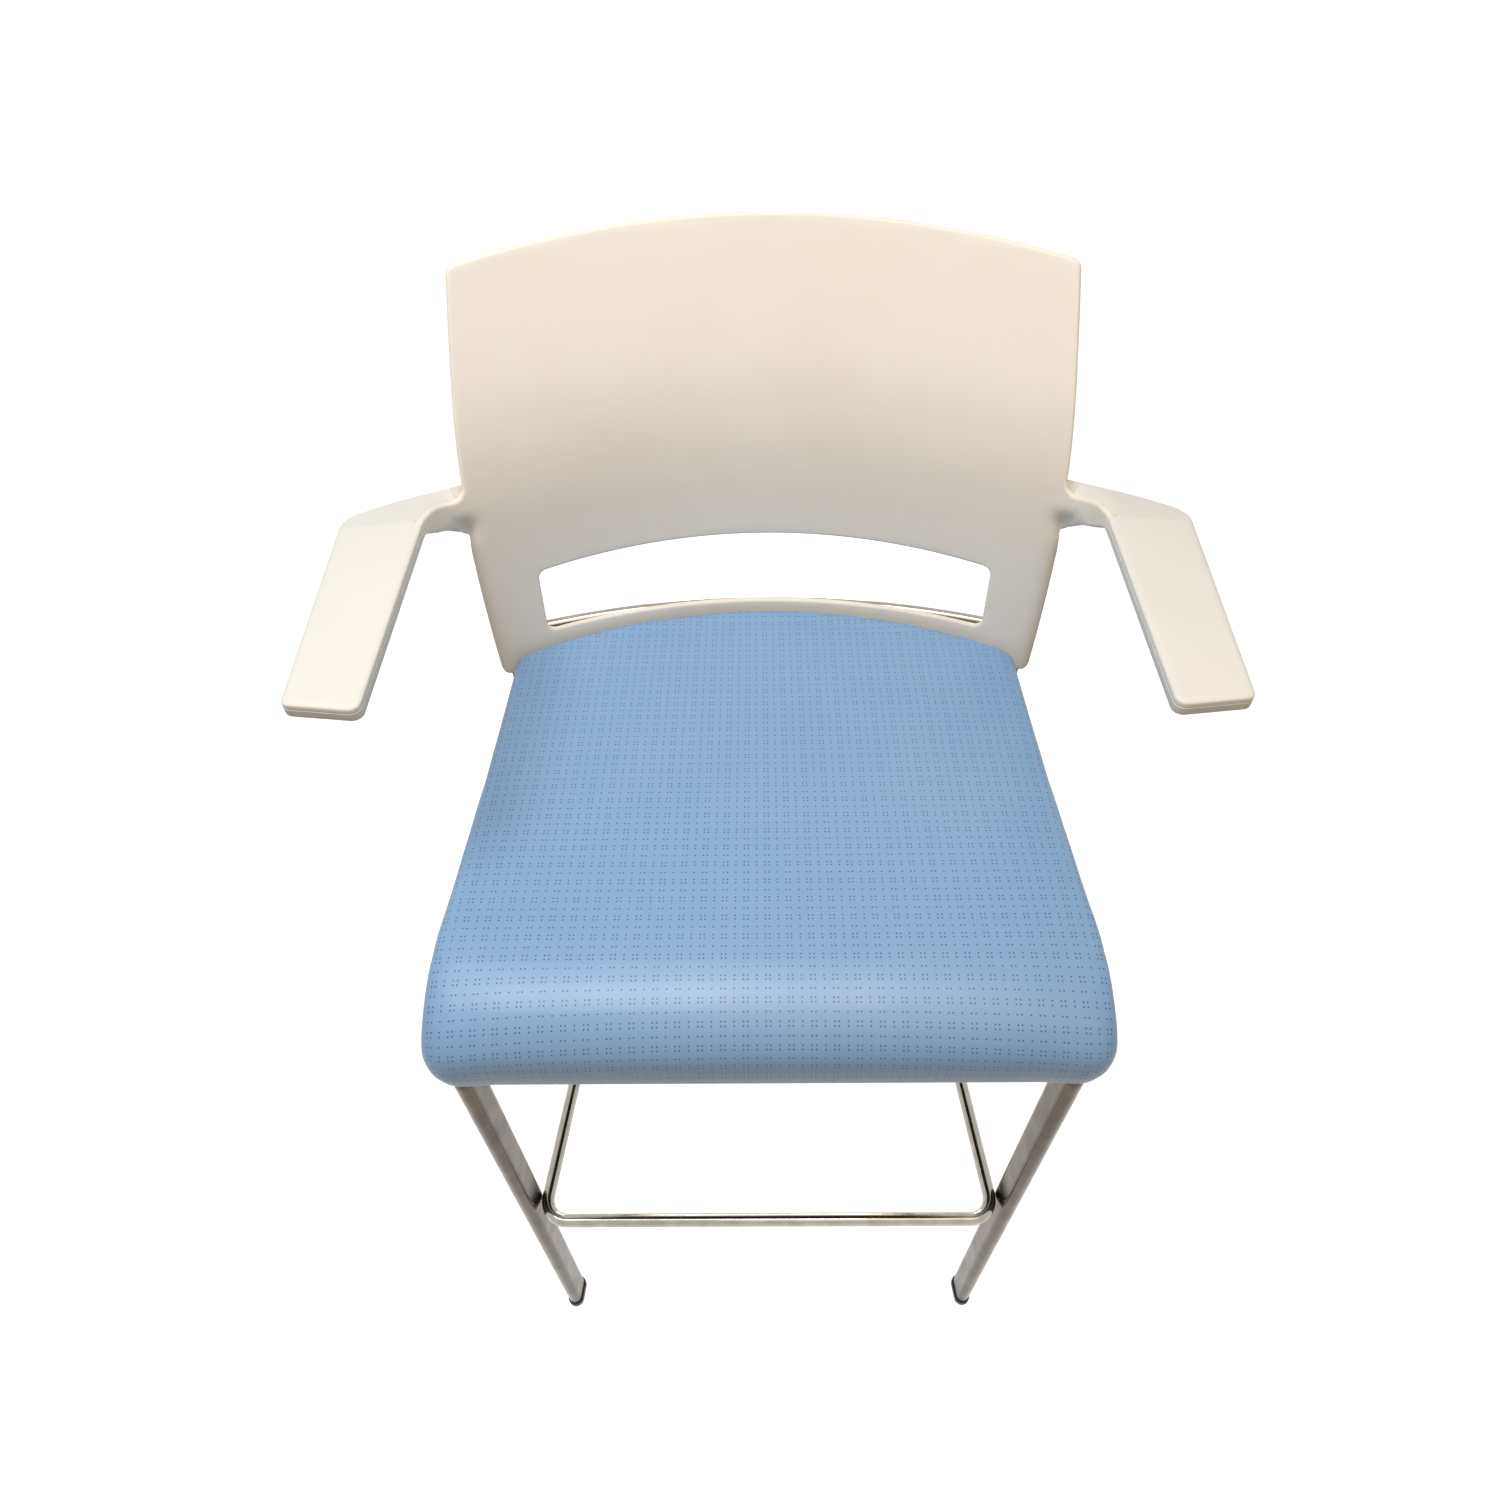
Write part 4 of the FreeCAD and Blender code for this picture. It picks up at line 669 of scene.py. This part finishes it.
def tighten_hem(mesh):
    """Brings the low and rear edges, blurred by the even mesh, back to the cover's tight folds."""
    cover = bmesh.new()
    cover.from_mesh(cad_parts["seat_cover"].data)
    middle = Vector((0, -20, SEAT_LOW + 30)) * MM
    inner = [face for face in cover.faces if face.normal.dot(face.calc_center_median() - middle) <= 0]
    bmesh.ops.delete(cover, geom=inner, context="FACES")
    skin = BVHTree.FromBMesh(cover)
    cover.free()
    places = vertex_places(mesh)
    low = 1 - ease(places[:, 2] / MM, SEAT_LOW + 14, SEAT_LOW + 40)
    share = np.maximum(low, 1 - ease(ahead_of_back(places / MM), 14, 30))
    for index in np.flatnonzero(share > 0):
        found = skin.find_nearest(Vector(places[index]), 9 * MM)[0]
        if found:
            places[index] += (np.array(found) - places[index]) * share[index]
    set_vertex_places(mesh, places)


def shape_edges(mesh):
    """Fills the nose out, draws out the folded low front corners and lifts the rear edge."""
    places = vertex_places(mesh) / MM
    side = np.sign(places[:, 0])
    ahead, above = 1 - (places[:, 1] - NOSE_FRONT) / NOSE_REACH, (places[:, 2] - NOSE_LOW) / NOSE_RISE
    turn = np.arctan2(np.clip(above, 0, None), np.clip(ahead, 0, None))
    normals = np.stack([-np.cos(turn) / NOSE_REACH, np.sin(turn) / NOSE_RISE], 1)
    normals /= np.linalg.norm(normals, axis=1)[:, None]
    full = NOSE_FILL * np.sin(2 * turn) ** 2 * (1 - ease(np.abs(places[:, 0]), 170, 236))
    places[:, 1:] += normals * full[:, None]
    low = 1 - ease(places[:, 2], 702, 748)
    corner = ease(np.abs(places[:, 0]), 190, 232) * ease(-places[:, 1], 215, 258) * low
    places[:, 0] += FOLD_ACROSS * corner * side
    places[:, 1] -= FOLD_AHEAD * corner
    across = np.abs(places[:, 0])
    lift = REAR_LIFT - REAR_LIFT_FALL * across - REAR_CORNER_FALL * ease(across, 195, 230)
    lift *= (1 - ease(ahead_of_back(places), 4, 20)) * ease(places[:, 2], 728, 745)
    places[:, 2] = np.maximum(places[:, 2], np.minimum(places[:, 2] + lift, SEAT_TOP))
    set_vertex_places(mesh, places * MM)


def seat_cushion(sheet):
    cushion = seat_form()
    tighten_hem(cushion.data)
    clear_underside(cushion, sheet)
    fill_out(cushion)
    shape_edges(cushion.data)
    cushion.modifiers.new("finer_skin", "SUBSURF").levels = 1
    settle(cushion)
    cushion.data.shade_smooth()
    lay_cover(cushion.data)
    return cushion


# Materials
def add_node(tree, kind, inputs=None, **settings):
    """Adds a shader node with its settings; an input is a number, a colour or the socket that feeds it."""
    node = tree.nodes.new("ShaderNode" + kind)
    for name, value in settings.items():
        setattr(node, name, value)
    for socket, value in (inputs or {}).items():
        if isinstance(value, bpy.types.NodeSocket):
            tree.links.new(value, node.inputs[socket])
        else:
            node.inputs[socket].default_value = value
    return node


def new_material(name, **values):
    """A material whose shader has these constant values, its node tree, shader and object coordinates."""
    material = bpy.data.materials.new(name)
    material.use_nodes = True
    tree = material.node_tree
    shader = tree.nodes["Principled BSDF"]
    for socket, value in values.items():
        shader.inputs[socket.replace("_", " ")].default_value = value
    return material, tree, shader, add_node(tree, "TexCoord").outputs["Object"]


def calculate(tree, operation, *values):
    """Result of a calculation on numbers or sockets."""
    return add_node(tree, "Math", dict(enumerate(values)), operation=operation).outputs[0]


def map_range(tree, value, low, high, first, last):
    """A value between low and high as a value between first and last."""
    return add_node(tree, "MapRange", {0: value, 1: low, 2: high, 3: first, 4: last}).outputs[0]


def mix_colours(tree, share, first, second):
    """A colour between two, each a hex value or a socket."""
    first, second = (linear(colour) if isinstance(colour, str) else colour for colour in (first, second))
    return add_node(tree, "Mix", {0: share, 6: first, 7: second}, data_type="RGBA").outputs[2]


def feed_shader(tree, shader, colour, gloss, bump=None):
    """Links a shader's colour, roughness and, where there is a relief, its normal."""
    tree.links.new(colour, shader.inputs["Base Color"])
    tree.links.new(gloss, shader.inputs["Roughness"])
    if bump is not None:
        tree.links.new(bump.outputs[0], shader.inputs["Normal"])


def moulded_plastic(name, colour, worn, grain_mm):
    """Spark-grained injection moulding: matt skin with a fine pebble, faintly smudged by hands."""
    material, tree, shader, place = new_material(name, IOR=1.49)
    smudge_mm = 110
    noise = {"Vector": place, "Scale": 1000 / smudge_mm, "Detail": 3.0, "Roughness": 0.55}
    cloudy = add_node(tree, "TexNoise", noise).outputs[0]
    tint = mix_colours(tree, map_range(tree, cloudy, 0.45, 0.75, 0.0, 0.55), colour, worn)
    # The real pebble is about 0.4 mm, too fine to show, so it is drawn coarser
    pebble = add_node(tree, "TexVoronoi", {"Vector": place, "Scale": 1000 / grain_mm}, feature="SMOOTH_F1")
    bump = add_node(tree, "Bump", {"Height": pebble.outputs[0], "Strength": 0.10, "Distance": 0.12 * MM})
    feed_shader(tree, shader, tint, map_range(tree, cloudy, 0.3, 0.7, 0.5, 0.6), bump)
    return material


def perforated_vinyl():
    """Coated fabric, calendered with a fine leather grain and pricked with rows of small holes."""
    material, tree, shader, place = new_material("perforated_vinyl", IOR=1.5, Specular_IOR_Level=0.5)
    cell_mm, pair_mm, hole_mm, wear_mm = 15.6, 3.0, 1.15, 90
    cover = add_node(tree, "Attribute", attribute_name="cover_place").outputs["Vector"]
    parts = add_node(tree, "SeparateXYZ", {0: cover})
    squares = []
    for axis in (0, 1):
        cells = calculate(tree, "MULTIPLY", parts.outputs[axis], 1000 / cell_mm)
        inward = calculate(tree, "ABSOLUTE", calculate(tree, "WRAP", cells, 0.5, -0.5))
        pair = calculate(tree, "ABSOLUTE", calculate(tree, "SUBTRACT", inward, pair_mm / cell_mm / 2))
        near = calculate(tree, "MINIMUM", pair, calculate(tree, "SUBTRACT", 0.5, inward))
        squares.append(calculate(tree, "POWER", near, 2.0))
    apart = calculate(tree, "SQRT", calculate(tree, "ADD", *squares))
    rim = hole_mm / cell_mm / 2
    hole = map_range(tree, apart, 0.7 * rim, 1.3 * rim, 1.0, 0.0)
    worn = add_node(tree, "TexNoise", {"Vector": place, "Scale": 1000 / wear_mm, "Detail": 3.0}).outputs[0]
    skin = mix_colours(tree, map_range(tree, worn, 0.35, 0.7, 0.0, 0.6), "#87AED7", "#80A7D2")
    # The holes are coloured dark blue as painted shade inside them; their dip in the relief below is real.
    tint = mix_colours(tree, hole, skin, "#33507A")
    # Leather grain of about 0.6 mm, drawn at 1.4 mm so that it shows
    grain_mm = 1.4
    grain = add_node(tree, "TexVoronoi", {"Vector": place, "Scale": 1000 / grain_mm}, feature="SMOOTH_F1")
    relief = calculate(tree, "MULTIPLY_ADD", hole, -2.5, grain.outputs[0])
    bump = add_node(tree, "Bump", {"Height": relief, "Strength": 0.18, "Distance": 0.15 * MM})
    feed_shader(tree, shader, tint, map_range(tree, worn, 0.3, 0.7, 0.32, 0.38), bump)
    return material


def plated_metal(name, bright, dull, smooth, rough, haze_mm):
    """Plated and polished metal: mirror-like with a soft haze, duller where it has been handled."""
    material, tree, shader, place = new_material(name, Metallic=1.0)
    noise = {"Vector": place, "Scale": 1000 / haze_mm, "Detail": 4.0}
    haze = add_node(tree, "TexNoise", noise).outputs[0]
    tint = mix_colours(tree, map_range(tree, haze, 0.35, 0.68, 0.0, 1.0), bright, dull)
    feed_shader(tree, shader, tint, map_range(tree, haze, 0.3, 0.7, smooth, rough))
    return material


def dark_finish(name, colour, worn, grain_mm, smooth, rough, strength, **values):
    """Dark coating, rubber or nylon with a visible skin: grain, slight fading and uneven gloss."""
    material, tree, shader, place = new_material(name, **values)
    fade_mm = 30
    fade = add_node(tree, "TexNoise", {"Vector": place, "Scale": 1000 / fade_mm, "Detail": 4.0}).outputs[0]
    grain = add_node(tree, "TexNoise", {"Vector": place, "Scale": 1000 / grain_mm, "Detail": 2.0})
    tint = mix_colours(tree, fade, colour, worn)
    bump = add_node(tree, "Bump", {"Height": grain.outputs[0], "Strength": strength, "Distance": 0.2 * MM})
    feed_shader(tree, shader, tint, map_range(tree, fade, 0.3, 0.7, smooth, rough), bump)
    return material


# The back's face and the arms' beams and necks are one moulding in two colours: the shell's warmer cream is
# partly its own tint and partly painted warm fill light, while the beams and necks wear the cap's neutral
# white.
shell_plastic_painted_warm = moulded_plastic("moulded_polypropylene", "#F5F0E6", "#EFE8DB", 1.3)
cap_plastic = moulded_plastic("moulded_cap_plastic", "#E8E8E4", "#E3E2DC", 1.3)
vinyl = perforated_vinyl()
# Both chromes are one plating: the frame's dark taupe is a painted reflection of a dark brown room, the foot
# ring's and back bar's paler grey a painted reflection of brighter surroundings; the haze within each pair
# is random.
chrome_painted_dark_reflection = plated_metal("chrome_plate_painted_dark_reflection", "#54493D", "#463C32", 0.16, 0.28, 24)
chrome_painted_pale_reflection = plated_metal("chrome_plate_painted_pale_reflection", "#B3AEA5", "#A29C92", 0.10, 0.2, 18)
zinc = plated_metal("zinc_plated_steel", "#B3B0A8", "#98948B", 0.3, 0.45, 6)
powder_coat = dark_finish("powder_coated_steel", "#2E2C2A", "#3A3734", 0.8, 0.42, 0.55, 0.25)
nylon = dark_finish("moulded_nylon", "#24262B", "#30333A", 0.9, 0.45, 0.6, 0.2)
rubber = dark_finish("bush_rubber", "#1D1D1D", "#292827", 0.7, 0.7, 0.85, 0.3)
dust_cloth = dark_finish("spunbond_dust_cloth", "#26262A", "#34343A", 1.6, 0.85, 0.95, 0.6)

NODE_FINISHES = {
    # The two chromes below differ only by their painted reflections.
    chrome_painted_dark_reflection: ("side_frame", "cross_tube", "pivot_bracket"),
    chrome_painted_pale_reflection: ("foot_ring", "back_bar"),
    powder_coat: ("upright", "seat_plate"),
    nylon: ("glide", "seat_pan"),
    rubber: ("torsion_bush",),
    zinc: ("stop_pin", "pivot_sleeve", "pivot_washer", "pivot_bolt", "arm_core", "screws", "tee_nuts"),
}


def wear(piece, finish):
    """Gives a piece one material."""
    piece.data.materials.clear()
    piece.data.materials.append(finish)


def finish_nodes():
    for finish, endings in NODE_FINISHES.items():
        for name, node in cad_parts.items():
            if name.endswith(endings):
                wear(node, finish)


# Pieces
finish_nodes()
beam = arm_beam()
sleeve = upright_sleeve()
shell_solids = [(solid, shell_plastic_painted_warm) for solid in (back_wall(), sleeve, mirrored(sleeve))]
# Beams and necks belong to the shell's moulding but take the cap's neutral white; the shell's extra warmth
# is painted warm light.
beam_solids = [(solid, cap_plastic) for solid in (beam, mirrored(beam))]
back = make_piece("back_moulding", shell_solids + beam_solids)
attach(back, "back")
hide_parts("back_shell")

cap_solid = arm_cap()
for name, side in SIDES.items():
    cap = make_piece(f"{name}_arm_pad", [(cap_solid if side > 0 else mirrored(cap_solid), cap_plastic)])
    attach(cap, "back")
    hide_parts(f"{name}_arm_cap")

sheet = dust_cover_sheet()
cushion = seat_cushion(sheet)
wear(cushion, vinyl)
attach(cushion, "frame")
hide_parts("seat_cover", "seat_foam")

cloth, cut_size, cut_area = dust_cover(sheet)
wear(cloth, dust_cloth)
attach(cloth, "frame")
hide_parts("seat_dust_cover")


# Floor, surround, lamps and camera
def seen_rays(tree):
    """1 where the camera sees a surface, straight or in a reflection or through glass."""
    light = add_node(tree, "LightPath").outputs
    seen = calculate(tree, "MAXIMUM", light["Is Camera Ray"], light["Is Glossy Ray"])
    return calculate(tree, "MAXIMUM", seen, light["Is Transmission Ray"])


def white_surround(ambient):
    """White all round to the eye, and a weak warm light on the object."""
    world = bpy.data.worlds.new("studio")
    bpy.context.scene.world = world
    world.use_nodes = True
    tree = world.node_tree
    tree.nodes.clear()
    dim = add_node(tree, "Background", {"Color": linear("#FFF2DE"), "Strength": ambient})
    bright = add_node(tree, "Background", {"Color": linear("#FFFFFF"), "Strength": 1.0})
    mix = add_node(tree, "MixShader", {0: seen_rays(tree), 1: dim.outputs[0], 2: bright.outputs[0]})
    add_node(tree, "OutputWorld", {0: mix.outputs[0]})


def pale_floor():
    """White studio floor that keeps the stool's soft shadow."""
    mesh = bpy.data.meshes.new("floor")
    reach = 9
    corners = [(-reach, -reach, 0), (reach, -reach, 0), (reach, reach, 0), (-reach, reach, 0)]
    mesh.from_pydata(corners, [], [(0, 1, 2, 3)])
    floor = link_piece("floor", mesh)
    material = bpy.data.materials.new("studio_floor")
    material.use_nodes = True
    tree = material.node_tree
    tree.nodes.clear()
    plain = add_node(tree, "BsdfDiffuse", {"Color": linear("#82796E")})
    glow = add_node(tree, "Emission", {"Color": linear("#FFFFFF"), "Strength": 0.89})
    lit = add_node(tree, "BsdfDiffuse", {"Color": linear("#D0D0D0")})
    both = add_node(tree, "AddShader", {0: glow.outputs[0], 1: lit.outputs[0]})
    mix = add_node(tree, "MixShader", {0: seen_rays(tree), 1: plain.outputs[0], 2: both.outputs[0]})
    add_node(tree, "OutputMaterial", {0: mix.outputs[0]})
    mesh.materials.append(material)


def softbox(name, place, target, width, depth, power, colour):
    """Area lamp aimed at a target, in metres and watts."""
    lamp = bpy.data.lights.new(name, "AREA")
    lamp.shape = "RECTANGLE"
    lamp.size, lamp.size_y = width, depth
    lamp.energy = power
    lamp.color = linear(colour)[:3]
    holder = bpy.data.objects.new(name, lamp)
    holder.location = place
    holder.visible_camera = False
    holder.rotation_euler = (Vector(target) - Vector(place)).to_track_quat("-Z", "Y").to_euler()
    bpy.context.scene.collection.objects.link(holder)


def photo_camera():
    """Camera where the photograph was taken: above the front edge of the seat, looking down."""
    pitch, yaw, roll = (math.radians(angle) for angle in (47.411, -0.570, -0.835))
    forward = Vector((math.sin(yaw) * math.cos(pitch), math.cos(yaw) * math.cos(pitch), -math.sin(pitch)))
    right = Vector((math.cos(yaw), -math.sin(yaw), 0))
    down = forward.cross(right)
    across = right * math.cos(roll) - down * math.sin(roll)
    upward = -right * math.sin(roll) - down * math.cos(roll)
    lens = bpy.data.cameras.new("camera")
    sensor_mm, focal_px, picture_px = 36, 989.346, 1512
    lens.sensor_width = sensor_mm
    lens.lens = sensor_mm * focal_px / picture_px
    lens.clip_start = 0.02
    camera = bpy.data.objects.new("camera", lens)
    camera.matrix_world = Matrix((across, upward, -forward)).transposed().to_4x4()
    camera.location = Vector((-2.642, -570.912, 1365.331)) * MM
    bpy.context.scene.collection.objects.link(camera)
    bpy.context.scene.camera = camera


white_surround(0.24)
pale_floor()
softbox("key_lamp", (-0.42, -0.27, 2.3), (-0.42, 0, 0.8), 1.4, 0.6, 19.3, "#FAFCFF")
softbox("fill_lamp", (0.25, -0.55, 1.7), (0, 0.25, 0.85), 0.8, 0.8, 2.7, "#FFDCAE")
softbox("rear_lamp", (0, 1.6, 0.6), (0, 0.2, 0.85), 0.6, 0.6, 9, "#FFFAF2")
photo_camera()
